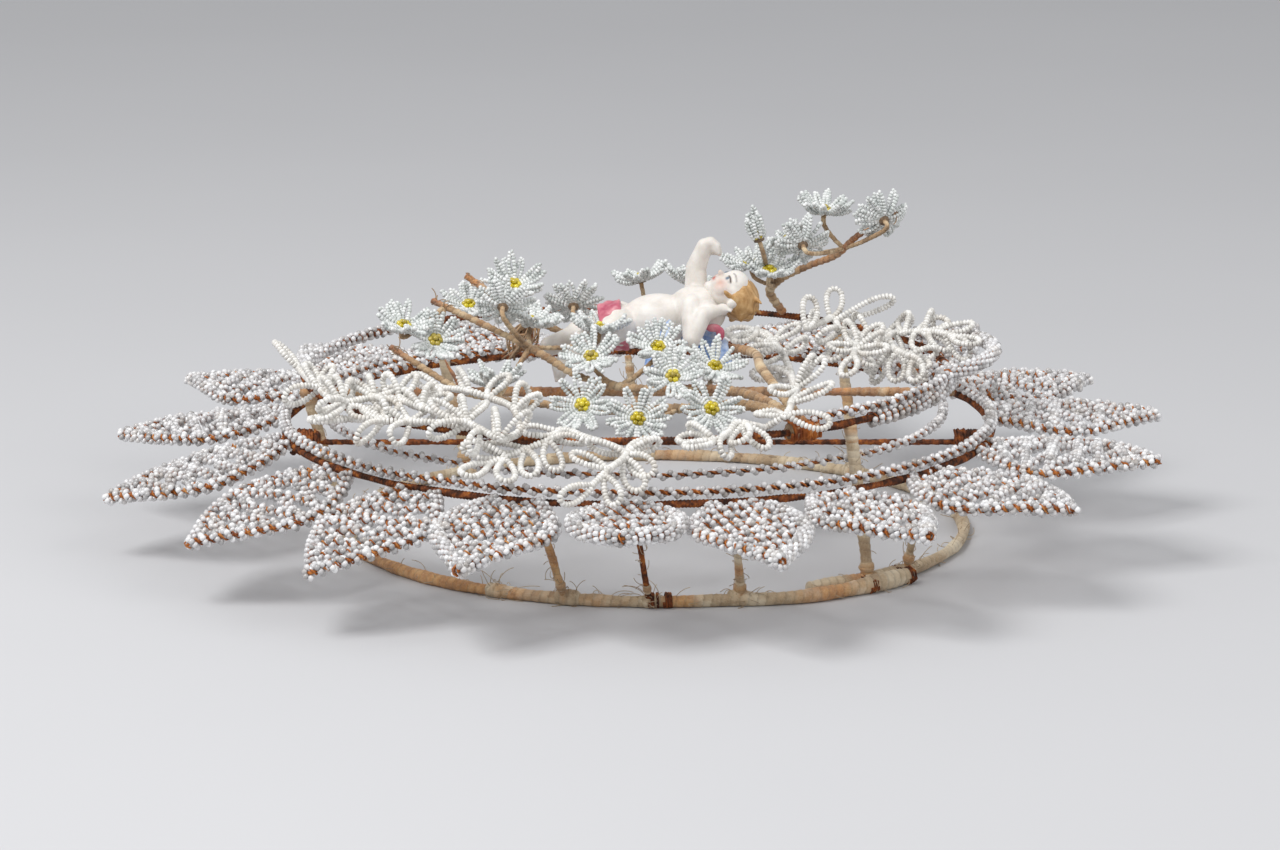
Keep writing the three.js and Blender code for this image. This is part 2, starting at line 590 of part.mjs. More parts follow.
function wingSolid({ root, tip, face }, extra) {
  const chest = spot(figurePlace);
  const at = (shares) => new THREE.Vector3(...shares).multiplyScalar(figure.length).add(chest);
  const corners = wingEdgeShares.map(([along, across]) => {
    return new THREE.Vector2(along * (wing.length + extra), across * (wing.width + 2 * extra));
  });
  const thick = wing.thick + 2 * extra;
  const options = { depth: thick, bevelEnabled: false, steps: 1 };
  const plate = new THREE.ExtrudeGeometry(new THREE.Shape(corners), options);
  plate.translate(0, 0, -thick / 2);
  return toSolid(facing(plate, at(root), at(tip).sub(at(root)), new THREE.Vector3(...face)));
}

// Cross rods tied under their rings, along X and a little in front of the middle
function crossEnds(ring, rodSize) {
  const half = Math.sqrt(ring.radius ** 2 - rodSize.offset ** 2) + ring.thick / 2;
  const z = ring.height - ring.thick / 2 - clearance - rodSize.thick / 2;
  return [-half, half].map((x) => new THREE.Vector3(ring.shift + x, -rodSize.offset, z));
}
const crossWireEnds = () => crossEnds(lowerRing, crossWire);
const crossBarEnds = () => crossEnds(upperRing, crossBar);

function crossBinding(endIndex, extra) {
  const ends = crossWireEnds();
  const [end, other] = [ends[endIndex], ends[1 - endIndex]];
  const inward = other.clone().sub(end).normalize();
  const reach = lowerRing.thick + binding.length / 2 + 2 * clearance;
  const centre = end.clone().addScaledVector(inward, reach);
  return bindingSolid(centre, inward, crossWire.thick + 2 * clearance, binding, extra);
}

// The middle edging hangs inside the legs, halfway between the two rings
function middleRing() {
  const height = (lowerRing.height + lowerRing.height + upperRing.height) / 3;
  const share = (height - ringHeight(baseHoop)) / (upperRing.height - ringHeight(baseHoop));
  const between = (a, b) => a + (b - a) * share;
  const legRadius = between(baseHoop.radius, upperRing.radius);
  return {
    radius: legRadius - legThick / 2 - clearance - edging.strandThick / 2,
    height,
    shift: between(baseHoop.shift, upperRing.shift),
    thick: edging.strandThick,
  };
}

// An edging lies along the top of its ring
function onTop(ring) {
  return { ...ring, height: ring.height + flatHalf(ring.thick) + clearance + edging.thick / 2 };
}

// Finishes
function finish(color, roughness, metalness = 0) {
  return new THREE.MeshStandardMaterial({ color, roughness, metalness });
}
const wrappedCloth = finish(0xc9b489, 0.95);
const rustedIron = finish(0x6b3a22, 0.85, 0.4);
const paperTape = finish(0xb4936a, 0.9);
const pearlBeads = finish(0xd6d8dc, 0.35);
const chalkBeads = finish(0xeeece6, 0.5);
const glassBeads = finish(0xcdd8d6, 0.25);
const bisque = finish(0xf2ece4, 0.6);
const tintedBisque = finish(0x9fb6da, 0.6);

// Pieces in the order in which the wreath is put together: name, finish and solid, fatter by extra
const pieces = [];
const piece = (name, material, solid) => pieces.push({ name, material, solid });

piece('base_hoop', wrappedCloth, baseHoopSolid);
piece('lower_ring', rustedIron, (extra) => ringSolid(lowerRing, extra));
piece('upper_ring', rustedIron, (extra) => ringSolid(upperRing, extra));
legTurns.forEach((turn, i) => piece(`leg_${i + 1}`, wrappedCloth, (extra) => {
  return straightRod(ringSpot(baseHoop, turn), ringSpot(upperRing, turn), legThick + 2 * extra);
}));
strutTurns.forEach((turn, i) => piece(`strut_${i + 1}`, wrappedCloth, (extra) => {
  return straightRod(ringSpot(baseHoop, turn), ringSpot(lowerRing, turn), strutThick + 2 * extra);
}));
piece('cross_wire', rustedIron, (extra) => straightRod(...crossWireEnds(), crossWire.thick + 2 * extra));
piece('cross_bar', paperTape, (extra) => straightRod(...crossBarEnds(), crossBar.thick + 2 * extra));
piece('binding_left', rustedIron, (extra) => crossBinding(0, extra));
piece('binding_right', rustedIron, (extra) => crossBinding(1, extra));
piece('bundle_binding', rustedIron, (extra) => {
  const centre = ringSpot(upperRing, bundle.turn);
  const along = ringSpot(upperRing, bundle.turn + 1).sub(centre);
  return bindingSolid(centre, along, upperRing.thick + 2 * clearance, { ...binding, ...bundle }, extra);
});
piece('edging_lower', pearlBeads, (extra) => {
  return strandSolid(onTop(lowerRing), edging.thick + 2 * extra, null, edging.lay, edging.twistSides);
});
piece('edging_middle', pearlBeads, (extra) => {
  return strandSolid(middleRing(), edging.strandThick + 2 * extra, null, edging.lay, edging.twistSides);
});
piece('edging_upper', pearlBeads, (extra) => {
  const thick = edging.thick + 2 * extra;
  return strandSolid(onTop(upperRing), thick, upperEdgingTurns, edging.lay, edging.twistSides);
});
leafPoses.forEach((pose, i) => {
  const name = `leaf_${String(i + 1).padStart(2, '0')}`;
  piece(name, pearlBeads, (extra) => leafSolid(pose, leafHalf(i), extra));
});
for (const name of Object.keys(branchCurves)) {
  piece(name, paperTape, (extra) => {
    return rod(branchCurves[name], branchThick + 2 * extra, branchSteps, branchSides);
  });
}
piece('cherub', bisque, figureSolid);
for (const [name, pose] of Object.entries(wingPoses)) {
  piece(name, tintedBisque, (extra) => wingSolid(pose, extra));
}
sprays.forEach((spray, i) => {
  piece(`loop_spray_${i + 1}`, chalkBeads, (extra) => spraySolid(spray, extra));
});
daisyTwigs.forEach((twig, i) => {
  piece(`daisy_twig_${i + 1}`, glassBeads, (extra) => daisySolid(twig, extra));
});

// Each piece is cut clear of those before it, and the crumbs that a cut leaves loose are swept away
const boxesMeet = (a, b) => a.min.every((low, i) => low < b.max[i] && b.min[i] < a.max[i]);
const wreath = new THREE.Group();
const placed = [];
for (const { name, material, solid } of pieces) {
  let body = solid(0);
  const box = body.boundingBox();
  for (const earlier of placed) {
    if (boxesMeet(box, earlier.box)) body = body.subtract(earlier.fat);
  }
  const bodies = body.decompose().sort((a, b) => b.volume() - a.volume());
  const fat = solid(clearance);
  placed.push({ fat, box: fat.boundingBox() });
  const mesh = new THREE.Mesh(toGeometry(bodies[0]), material);
  mesh.name = name;
  wreath.add(mesh);
}

export default wreath;
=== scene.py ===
# A funeral wreath in bead work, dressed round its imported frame.
# Lengths are in millimetres until makePiece turns them to metres. +X is right, -Y is the front, +Z is up.
import math

import bpy
import numpy as np
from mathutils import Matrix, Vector


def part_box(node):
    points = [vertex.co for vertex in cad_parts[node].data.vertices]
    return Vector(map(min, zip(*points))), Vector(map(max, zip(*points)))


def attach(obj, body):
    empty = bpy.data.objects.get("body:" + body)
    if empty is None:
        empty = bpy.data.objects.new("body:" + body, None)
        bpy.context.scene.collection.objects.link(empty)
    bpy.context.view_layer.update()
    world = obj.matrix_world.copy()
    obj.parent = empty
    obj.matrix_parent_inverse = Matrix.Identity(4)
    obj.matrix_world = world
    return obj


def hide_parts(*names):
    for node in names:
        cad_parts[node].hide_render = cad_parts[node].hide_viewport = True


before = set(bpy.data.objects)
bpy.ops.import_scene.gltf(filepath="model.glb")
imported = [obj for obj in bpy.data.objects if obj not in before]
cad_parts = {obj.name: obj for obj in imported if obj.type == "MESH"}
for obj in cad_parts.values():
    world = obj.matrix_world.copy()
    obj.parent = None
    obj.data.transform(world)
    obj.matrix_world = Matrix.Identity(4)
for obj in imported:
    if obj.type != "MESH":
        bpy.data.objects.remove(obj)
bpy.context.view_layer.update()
scene = bpy.context.scene
scene.view_settings.view_transform = "Standard"
print("frame loaded")

# Camera: a long lens a little above the wreath, square to its front. The middle of the ground under the
# wreath is seen at a column and row of the picture, and a pixel is so many millimetres there
camera = {"lens": 135, "clip": (0.1, 50), "distance": 2024, "elevation": 13.8, "aim": (0.8, 10.5, 42.6),
          "originColumn": 638, "originRow": 529, "pixelSize": 0.4217}
tilt = math.radians(camera["elevation"])
viewUp = np.array([0, math.sin(tilt), math.cos(tilt)])
viewBack = np.array([0, -math.cos(tilt), math.sin(tilt)])


def addAimed(name, data, place, aim):
    # a camera or a lamp at a place in metres, turned towards another
    holder = bpy.data.objects.new(name, data)
    scene.collection.objects.link(holder)
    holder.location = place
    holder.rotation_euler = (Vector(aim) - Vector(place)).to_track_quat("-Z", "Y").to_euler()
    return holder


def addCamera():
    seen = bpy.data.cameras.new("viewCamera")
    seen.lens = camera["lens"]
    seen.clip_start, seen.clip_end = camera["clip"]
    place = viewBack * camera["distance"] / 1000
    scene.camera = addAimed("viewCamera", seen, place, Vector(camera["aim"]) / 1000)


addCamera()


def toView(points):
    # millimetres to picture columns and rows: offsets shrink with the distance from the camera
    depth = 1 - points @ viewBack / camera["distance"]
    size = camera["pixelSize"] * depth
    return np.stack([camera["originColumn"] + points[..., 0] / size,
                     camera["originRow"] - points @ viewUp / size], axis=-1), size


def fromView(column, row, z):
    # the place at a height that the camera sees at a column and row
    rise = (camera["originRow"] - row) * camera["pixelSize"]
    far = camera["distance"]
    y = (viewUp[2] * z - rise * (1 - viewBack[2] * z / far)) / (viewUp[2] * rise / far - viewUp[1])
    size = camera["pixelSize"] * (1 - (viewBack[1] * y + viewBack[2] * z) / far)
    return np.array([(column - camera["originColumn"]) * size, y, z])


# Small helpers for directions and chance
def unit(v):
    return v / np.maximum(np.linalg.norm(v, axis=-1, keepdims=True), 1e-9)


def chanceFor(word):
    return np.random.default_rng([ord(letter) for letter in word])


# Paths: rows of points in millimetres
def runAlong(path):
    # how far along the path each of its points is
    return np.concatenate([[0], np.cumsum(np.linalg.norm(np.diff(path, axis=0), axis=1))])


def evenPath(curve, step):
    # the same curve cut again into even steps along its length
    run = runAlong(curve)
    count = max(3, int(round(run[-1] / step)) + 1)
    at = np.linspace(0, run[-1], count)
    return np.stack([np.interp(at, run, curve[:, k]) for k in range(3)], axis=1)


def smoothPath(points, step):
    # a cubic through the points: at each point its slope is that of the line between its two neighbours
    p = np.asarray(points, float)
    if len(p) < 3:
        return evenPath(p, step)
    t = runAlong(p)
    slope = np.gradient(p, t, axis=0)
    fine = np.linspace(0, t[-1], 16 * len(p))
    k = np.clip(np.searchsorted(t, fine, side="right") - 1, 0, len(t) - 2)
    h = (t[k + 1] - t[k])[:, None]
    u = ((fine - t[k]) / (t[k + 1] - t[k]))[:, None]
    near = (1 + 2 * u) * (1 - u) ** 2 * p[k] + u * (1 - u) ** 2 * h * slope[k]
    far = u**2 * (3 - 2 * u) * p[k + 1] + u**2 * (u - 1) * h * slope[k + 1]
    return evenPath(near + far, step)


def arcPath(ring, turns, step, rise=0, reach=0):
    # part of a level circle between two turns in degrees, raised above the ring or out from it
    radius = ring["radius"] + reach
    length = math.radians(abs(turns[1] - turns[0])) * radius
    angle = np.radians(np.linspace(turns[0], turns[1], max(3, int(length / step) + 1)))
    z = np.full_like(angle, ring["height"] + rise)
    return np.stack([ring["x"] + radius * np.cos(angle), ring["y"] + radius * np.sin(angle), z], axis=1)


def framesAlong(path):
    # the direction of travel at each point of a path, and two directions square to it
    along = unit(np.gradient(path, axis=0))
    least = np.eye(3)[np.argmin(np.abs(along).mean(axis=0))]
    aside = unit(np.cross(along, least))
    return along, aside, np.cross(along, aside)


def woundPath(path, radius, pitch, step=0.9, start=0.0):
    # a helix round a path: one full turn in each pitch, at the radius from the path
    dense = evenPath(path, min(step, pitch / 7))
    _, aside, third = framesAlong(dense)
    angle = 2 * np.pi * (runAlong(dense) / pitch + start)[:, None]
    return dense + radius * (np.cos(angle) * aside + np.sin(angle) * third)


def shaken(path, reach, gap, chance):
    # the path with a slow wander: chance values up to a reach every few points, straight runs between them
    knots = max(2, len(path) // gap + 2)
    values = chance.uniform(-1, 1, (knots, 3))
    at = np.linspace(0, knots - 1, len(path))
    return path + reach * np.stack([np.interp(at, np.arange(knots), values[:, k]) for k in range(3)], axis=1)


# Parts: rows of vertices, faces as rows of corner numbers, a look, and values that the look reads
def part(vertices, faces, look, **values):
    return {"vertices": vertices, "faces": faces, "look": look, "values": values}


def gridFaces(rows, columns, roundColumns=True):
    # the four-sided faces of a grid of rows and columns, its last column joined to its first
    r = np.arange(rows - 1)[:, None]
    c = np.arange(columns if roundColumns else columns - 1)[None, :]
    nextC = (c + 1) % columns
    corners = [r * columns + c, r * columns + nextC, (r + 1) * columns + nextC, (r + 1) * columns + c]
    return np.stack([k.ravel() for k in corners], axis=1)


def tube(path, radius, look, sides=6, **values):
    # a round section carried along a path: radius is one number, one for each row, or one for each corner
    _, aside, third = framesAlong(path)
    angle = 2 * np.pi * np.arange(sides) / sides
    reach = np.broadcast_to(np.asarray(radius, float).reshape(-1, 1) if np.ndim(radius) < 2 else radius,
                            (len(path), sides))
    out = np.cos(angle)[None, :, None] * aside[:, None] + np.sin(angle)[None, :, None] * third[:, None]
    rings = path[:, None] + reach[:, :, None] * out
    vertices = np.concatenate([rings.reshape(-1, 3), path[:1], path[-1:]])
    first = np.arange(sides)
    nextOne = (first + 1) % sides
    low = np.full(sides, len(path) * sides)
    last = (len(path) - 1) * sides
    caps = np.concatenate([np.stack([low, nextOne, first], 1),
                           np.stack([low + 1, last + first, last + nextOne], 1)])
    spread = {}
    for key, value in values.items():
        value = np.asarray(value, float)
        grid = np.broadcast_to(value.reshape(-1, 1) if value.ndim < 2 else value, (len(path), sides))
        spread[key] = np.concatenate([grid.ravel(), grid[:1, 0], grid[-1:, 0]])
    return part(vertices, [gridFaces(len(path), sides), caps], look, **spread)


def makePiece(name, parts, slot, *nodes):
    # one mesh of all the parts, in metres, with its looks and values, that rides on the wreath's one body
    parts = [p for p in parts if len(p["vertices"])]
    starts = np.cumsum([0] + [len(p["vertices"]) for p in parts[:-1]])
    looks = list({p["look"].name: p["look"] for p in parts}.values())
    faces = [(f + s, looks.index(p["look"])) for p, s in zip(parts, starts) for f in p["faces"]]
    sizes = np.concatenate([np.full(len(f), f.shape[1]) for f, _ in faces])
    corners = np.concatenate([f.ravel() for f, _ in faces])
    mesh = bpy.data.meshes.new(name)
    total = sum(len(p["vertices"]) for p in parts)
    mesh.vertices.add(total)
    mesh.vertices.foreach_set("co", np.concatenate([p["vertices"] for p in parts]).ravel() / 1000)
    mesh.loops.add(len(corners))
    mesh.loops.foreach_set("vertex_index", corners.astype(np.int32))
    mesh.polygons.add(len(sizes))
    mesh.polygons.foreach_set("loop_start", np.concatenate([[0], np.cumsum(sizes)[:-1]]).astype(np.int32))
    mesh.polygons.foreach_set("material_index", np.concatenate([np.full(len(f), k) for f, k in faces]))
    mesh.polygons.foreach_set("use_smooth", np.ones(len(sizes), bool))
    mesh.update(calc_edges=True)
    for look in looks:
        mesh.materials.append(look)
    for key in sorted({k for p in parts for k in p["values"]}):
        blank = [np.broadcast_to(p["values"].get(key, 0.0), len(p["vertices"])) for p in parts]
        mesh.attributes.new(key, "FLOAT", "POINT").data.foreach_set("value", np.concatenate(blank))
    piece = bpy.data.objects.new(name, mesh)
    scene.collection.objects.link(piece)
    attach(piece, "root")
    if nodes:
        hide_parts(*nodes)
    return piece


# Materials
def linear(hexColour):
    # an sRGB hex colour as linear red, green, blue and alpha
    parts = [int(hexColour[k:k + 2], 16) / 255 for k in (1, 3, 5)]
    return [c / 12.92 if c <= 0.04045 else ((c + 0.055) / 1.055) ** 2.4 for c in parts] + [1]


def grain(size):
    # the scale of a noise whose grain is a size in millimetres
    return 1000 / size


def newLook(name):
    look = bpy.data.materials.new(name)
    look.use_nodes = True
    return look, look.node_tree, look.node_tree.nodes["Principled BSDF"]


def setInputs(tree, node, **inputs):
    # a number or colour is set and a socket is linked, to an input of that name, or of that number as in _0
    for key, value in inputs.items():
        socket = node.inputs[int(key[1:])] if key[1:].isdigit() else node.inputs[key.replace("_", " ")]
        if isinstance(value, bpy.types.NodeSocket):
            tree.links.new(value, socket)
        else:
            socket.default_value = value


def addNode(tree, kind, settings=None, out=0, stops=(), **inputs):
    # a node of a kind with its settings, its ramp's stops of place and hex colour, and its inputs
    node = tree.nodes.new("ShaderNode" + kind)
    for key, value in (settings or {}).items():
        setattr(node, key, value)
    for k, (place, colour) in enumerate(stops):
        elements = node.color_ramp.elements
        element = elements[k] if k < len(elements) else elements.new(place)
        element.position = place
        element.color = linear(colour)
    setInputs(tree, node, **inputs)
    return node.outputs[out]


def covered(tree, colour, over, value, low, high, most):
    # a colour covered by another, up to a share, as a value goes from low to high
    share = addNode(tree, "MapRange", Value=value, From_Min=low, From_Max=high, To_Max=most)
    return addNode(tree, "Mix", {"data_type": "RGBA"}, out=2, _0=share, _6=colour, _7=over)


def mottledLook(name, stops, mottle, relief=None, depth=0.0, stretch=(1, 1, 1), **surface):
    # the colours of one noise and the relief of another, which is so many millimetres deep
    look, tree, shader = newLook(name)
    place = addNode(tree, "Mapping", Vector=addNode(tree, "TexCoord", out="Object"), Scale=stretch)
    noise = addNode(tree, "TexNoise", Vector=place, **mottle)
    setInputs(tree, shader, Base_Color=addNode(tree, "ValToRGB", stops=stops, Fac=noise), **surface)
    if relief:
        height = addNode(tree, "TexNoise", Vector=place, **relief)
        setInputs(tree, shader, Normal=addNode(tree, "Bump", Height=height, Distance=depth / 1000))
    return look


def beadLook(name, stops, **surface):
    # glass beads, each of a slightly different tone
    look, tree, shader = newLook(name)
    tone = addNode(tree, "Attribute", {"attribute_name": "tone"}, out="Fac")
    colour = addNode(tree, "ValToRGB", stops=stops, Fac=tone)
    setInputs(tree, shader, Base_Color=colour, **surface)
    return look, tree, shader, colour


def opaqueBeadLook(name, stops, roughness):
    # pressed glass seed beads, fired and tumbled to a soft gloss, with dirt in patches
    look, tree, shader, colour = beadLook(name, stops, Roughness=roughness, IOR=1.52, Coat_Weight=0.5,
                                          Coat_Roughness=0.08)
    patches = addNode(tree, "TexNoise", Vector=addNode(tree, "TexCoord", out="Object"), Scale=grain(9))
    setInputs(tree, shader, Base_Color=covered(tree, colour, linear("#b9a78f"), patches, 0.5, 0.8, 0.35))
    return look


def wrappedLook(name, clean, rusty, threadGap, depth, grooveShade):
    # strips of cloth or paper wound on wire: each turn has its tone, and painted shade darkens its edge where
    # the ridge value is low, standing in for the groove under the next turn; rust spreads in patches from
    # where the stain value is high, and pale fibres lie on top
    look, tree, shader = newLook(name)
    place = addNode(tree, "TexCoord", out="Object")
    tone, stain, ridge = (addNode(tree, "Attribute", {"attribute_name": key}, out="Fac")
                          for key in ("tone", "stain", "ridge"))
    mottle, patches, flecks, fibre = (
        addNode(tree, "TexNoise", Vector=place, Scale=grain(size), Detail=detail, Roughness=rough)
        for size, detail, rough in ((14, 4, 0.6), (22, 5, 0.65), (5, 3, 0.5), (threadGap, 3, 0.7)))
    strip = addNode(tree, "Math", {"operation": "MULTIPLY_ADD"}, _0=tone, _1=0.3, _2=mottle)
    strip = addNode(tree, "Math", {"operation": "SUBTRACT"}, _0=strip, _1=0.15)
    patches = addNode(tree, "MapRange", Value=patches, From_Min=0.35, From_Max=0.7, To_Min=-0.25, To_Max=0.45)
    spread = addNode(tree, "Math", {"operation": "ADD"}, _0=stain, _1=patches)
    colour = addNode(tree, "ValToRGB", stops=clean, Fac=strip)
    rust = addNode(tree, "ValToRGB", stops=rusty, Fac=flecks)
    # the dark brown cover is painted shade at each turn's low edge, where the groove under the next turn
    # lies; the pale one is real fibre
    for cover in ((rust, spread, 0.25, 0.95, 0.9), (linear("#4b2f1c"), ridge, 0.4, 0, grooveShade),
                  (linear("#f1e6cf"), fibre, 0.3, 0.7, 0.22)):
        colour = covered(tree, colour, *cover)
    relief = addNode(tree, "Bump", Height=fibre, Distance=depth / 1000)
    setInputs(tree, shader, Base_Color=colour, Roughness=0.95, Sheen_Weight=0.15, Normal=relief)
    return look


def bisqueLook():
    # unglazed bisque, warm white with brown grime, and a face painted by hand where the values say
    look, tree, shader = newLook("paintedBisque")
    place = addNode(tree, "TexCoord", out="Object")
    grime = addNode(tree, "TexNoise", Vector=place, Scale=grain(7), Detail=4, Roughness=0.6)
    tones = ((0.3, "#d3ccc3"), (0.5, "#e2dcd5"), (0.7, "#ebe7e1"))
    colour = addNode(tree, "ValToRGB", stops=tones, Fac=grime)
    for name, paint, most in (("blush", "#c8917c", 0.75), ("lips", "#b2574c", 0.9), ("iris", "#56697d", 0.95),
                              ("lines", "#4a3224", 0.95)):
        painted = addNode(tree, "Attribute", {"attribute_name": name}, out="Fac")
        colour = covered(tree, colour, linear(paint), painted, 0, 1, most)
    pores = addNode(tree, "TexNoise", Vector=place, Scale=grain(1.2))
    setInputs(tree, shader, Base_Color=colour, Roughness=0.5, Subsurface_Weight=0.08,
              Subsurface_Radius=(0.004, 0.002, 0.001),
              Normal=addNode(tree, "Bump", Height=pores, Distance=0.04 / 1000))
    return look


def wingLook():
    # bisque brushed with thin blue, thicker towards the lower feathers and worn off on the ridges
    look, tree, shader = newLook("brushedBisqueWing")
    place = addNode(tree, "Mapping", Vector=addNode(tree, "TexCoord", out="Object"), Scale=(1, 1, 2.2))
    brush = addNode(tree, "TexNoise", Vector=place, Scale=grain(3), Detail=4, Roughness=0.65)
    low = addNode(tree, "Attribute", {"attribute_name": "low"}, out="Fac")
    reach = addNode(tree, "Math", {"operation": "MULTIPLY_ADD"}, _0=low, _1=0.35, _2=brush)
    tones = ((0.35, "#cdd7e7"), (0.55, "#9fb7de"), (0.75, "#7597cf"))
    blue = addNode(tree, "ValToRGB", stops=tones, Fac=reach)
    ridge = addNode(tree, "NewGeometry", out="Pointiness")
    worn = covered(tree, blue, linear("#bfc3c2"), ridge, 0.5, 0.56, 0.7)
    setInputs(tree, shader, Base_Color=worn, Roughness=0.55)
    return look


pearlBead = opaqueBeadLook("pearlGlassBead",
                           ((0, "#a5a3a2"), (0.3, "#cac8c8"), (0.7, "#e3e2e3"), (1, "#f5f5f5")), 0.2)
chalkBead = opaqueBeadLook("chalkGlassBead", ((0, "#d3d0ca"), (0.5, "#e9e7e2"), (1, "#f7f5f1")), 0.3)
yellowBead = opaqueBeadLook("yellowGlassBead", ((0, "#9c8a0c"), (0.5, "#c4ae14"), (1, "#e0ce2c")), 0.2)
# clear soda glass, grey-green through its length, cloudy where the thread shows white
clearBead = beadLook("clearGlassBead", ((0, "#cdd2cf"), (0.5, "#e8ebe9"), (1, "#fbfcfb")),
                     Roughness=0.25, IOR=1.45, Transmission_Weight=0.1)[0]
# iron wire rusted all over: flaky orange where damp sat, near black where it was rubbed
rustedIron = mottledLook("rustedIronWire",
                         ((0.3, "#20130d"), (0.44, "#4c2917"), (0.56, "#8a4a22"), (0.68, "#c47a34")),
                         {"Scale": grain(4), "Detail": 5, "Roughness": 0.65},
                         {"Scale": grain(1.4), "Detail": 4, "Roughness": 0.7}, 0.5,
                         Roughness=0.85, Metallic=0.1)
# thin iron wire between the beads, bright orange with rust
bindingWire = mottledLook("rustedBindingWire", ((0.3, "#7b3a16"), (0.55, "#bb6c2a"), (0.75, "#dc9f5c")),
                          {"Scale": grain(6), "Detail": 3}, Roughness=0.75, Metallic=0.15)
# each wrap's last number: how strong the painted shade at each turn's edge is
cottonWrap = wrappedLook("frayedCottonWrap", ((0.3, "#a98d6c"), (0.5, "#cbb594"), (0.7, "#e6d7bc")),
                         ((0.3, "#a0622a"), (0.5, "#c58745"), (0.7, "#dcab6c")), 0.7, 0.4, 0.35)
crepePaper = wrappedLook("crepePaperTape", ((0.3, "#80603f"), (0.5, "#b08b62"), (0.7, "#d6bd98")),
                         ((0.3, "#6e3512"), (0.5, "#a35b24"), (0.7, "#c98640")), 0.8, 0.35, 0.65)
paintedBisque = bisqueLook()
# tan and blond paint brushed over moulded hair in streaks
streaks = {"Scale": grain(3.4), "Detail": 4, "Roughness": 0.6}
mouldedHair = mottledLook("mouldedHairPaint",
                          ((0.3, "#8a673a"), (0.45, "#b58a54"), (0.6, "#cda571"), (0.75, "#dfc08e")),
                          streaks, streaks, 0.5, (1, 2.4, 0.6), Roughness=0.5)
brushedBisque = wingLook()
# drapery moulded in the bisque and painted pink, paler in patches
paintedSash = mottledLook("paintedBisqueSash", ((0.3, "#b04a63"), (0.5, "#c9707f"), (0.72, "#dfa6a8")),
                          {"Scale": grain(6), "Detail": 4, "Roughness": 0.6}, {"Scale": grain(2)}, 0.1,
                          Roughness=0.4)
print("materials made")

# Beads: a short barrel with a smaller end round its hole, its rows in shares of its half length and half
# thickness. Wound beads show the wire under them, which lies deeper than the string by wireDepth
bead = {"sides": 8, "rows": ((-0.9, 0.0), (-0.8, 0.74), (0.0, 1.0), (0.8, 0.74), (0.9, 0.0)), "spread": 0.08,
        "overlap": 1.04, "wireDepth": 0.5, "leastReach": 0.4, "wireRadius": 0.4, "wireStep": 1.4}


def beadCorners():
    turn = 2 * np.pi * np.arange(bead["sides"]) / bead["sides"]
    inner = bead["rows"][1:-1]
    rings = [[high, wide * math.cos(t), wide * math.sin(t)] for high, wide in inner for t in turn]
    points = np.array([[bead["rows"][0][0], 0, 0], *rings, [bead["rows"][-1][0], 0, 0]])
    first = 1 + np.arange(bead["sides"])
    nextOne = 1 + (np.arange(bead["sides"]) + 1) % bead["sides"]
    top = (len(inner) - 1) * bead["sides"]
    fans = np.concatenate([np.stack([0 * first, nextOne, first], 1),
                           np.stack([0 * first + len(points) - 1, first + top, nextOne + top], 1)])
    return points, fans, gridFaces(len(inner), bead["sides"]) + 1


beadPoints, beadFans, beadSides = beadCorners()


def beads(centres, axes, thick, long, look, chance):
    # one bead at each centre, its hole along its axis: thick across, long through the hole
    axes = unit(axes)
    other = np.where(np.abs(axes[:, 2:]) < 0.9, [[0.0, 0.0, 1.0]], [[1.0, 0.0, 0.0]])
    aside = unit(np.cross(axes, other))
    third = np.cross(axes, aside)
    size = (1 + bead["spread"] * chance.uniform(-1, 1, len(centres)))[:, None, None]
    across = beadPoints[None, :, 1:2] * aside[:, None] + beadPoints[None, :, 2:] * third[:, None]
    hole = (long / 2) * beadPoints[None, :, :1] * axes[:, None]
    vertices = centres[:, None] + hole + thick / 2 * size * across
    step = (len(beadPoints) * np.arange(len(centres)))[:, None, None]
    faces = [(beadFans[None] + step).reshape(-1, 3), (beadSides[None] + step).reshape(-1, 4)]
    tone = np.repeat(chance.uniform(0, 1, len(centres)), len(beadPoints))
    return part(vertices.reshape(-1, 3), faces, look, tone=tone)


def strung(path, size, look, chance):
    # beads of a thickness and length threaded end to end along a path
    thick, long = size
    centres = evenPath(path, long)
    return beads(centres, np.gradient(centres, axis=0), thick, long * bead["overlap"], look, chance)


def wound(path, winding, size, chance, start=0.0):
    # a string of pearl beads wound round a path, with a winding's radius and pitch, and the wire under it
    radius, pitch = winding
    string = strung(woundPath(path, radius, pitch, start=start), size, pearlBead, chance)
    reach = max(radius - bead["wireDepth"], bead["leastReach"])
    inner = woundPath(path, reach, pitch, bead["wireStep"], start + 0.5)
    return [string, tube(inner, bead["wireRadius"], bindingWire, sides=3)]


# The wreath's rings, read from the frame: half of each one's width less the radius of its own rod
rodRadii = {"lower_ring": 2.25, "upper_ring": 2.25, "edging_middle": 1.7, "base_hoop": 3}


def boxOf(node):
    # a node's lowest corner, its highest corner and the middle between them
    low, high = (np.array(corner) * 1000 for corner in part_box(node))
    return low, high, (low + high) / 2


def ringOf(node):
    low, high, middle = boxOf(node)
    radius = (high[0] - low[0]) / 2 - rodRadii[node]
    return {"x": middle[0], "y": middle[1], "height": middle[2], "radius": radius}


lowerRing, upperRing, middleRing, baseHoop = (ringOf(node) for node in rodRadii)
# the lapped end of the hoop reaches past its round, and its underside is pressed flat
baseHoop.update(y=0.0, height=2.6)
print("rings read")

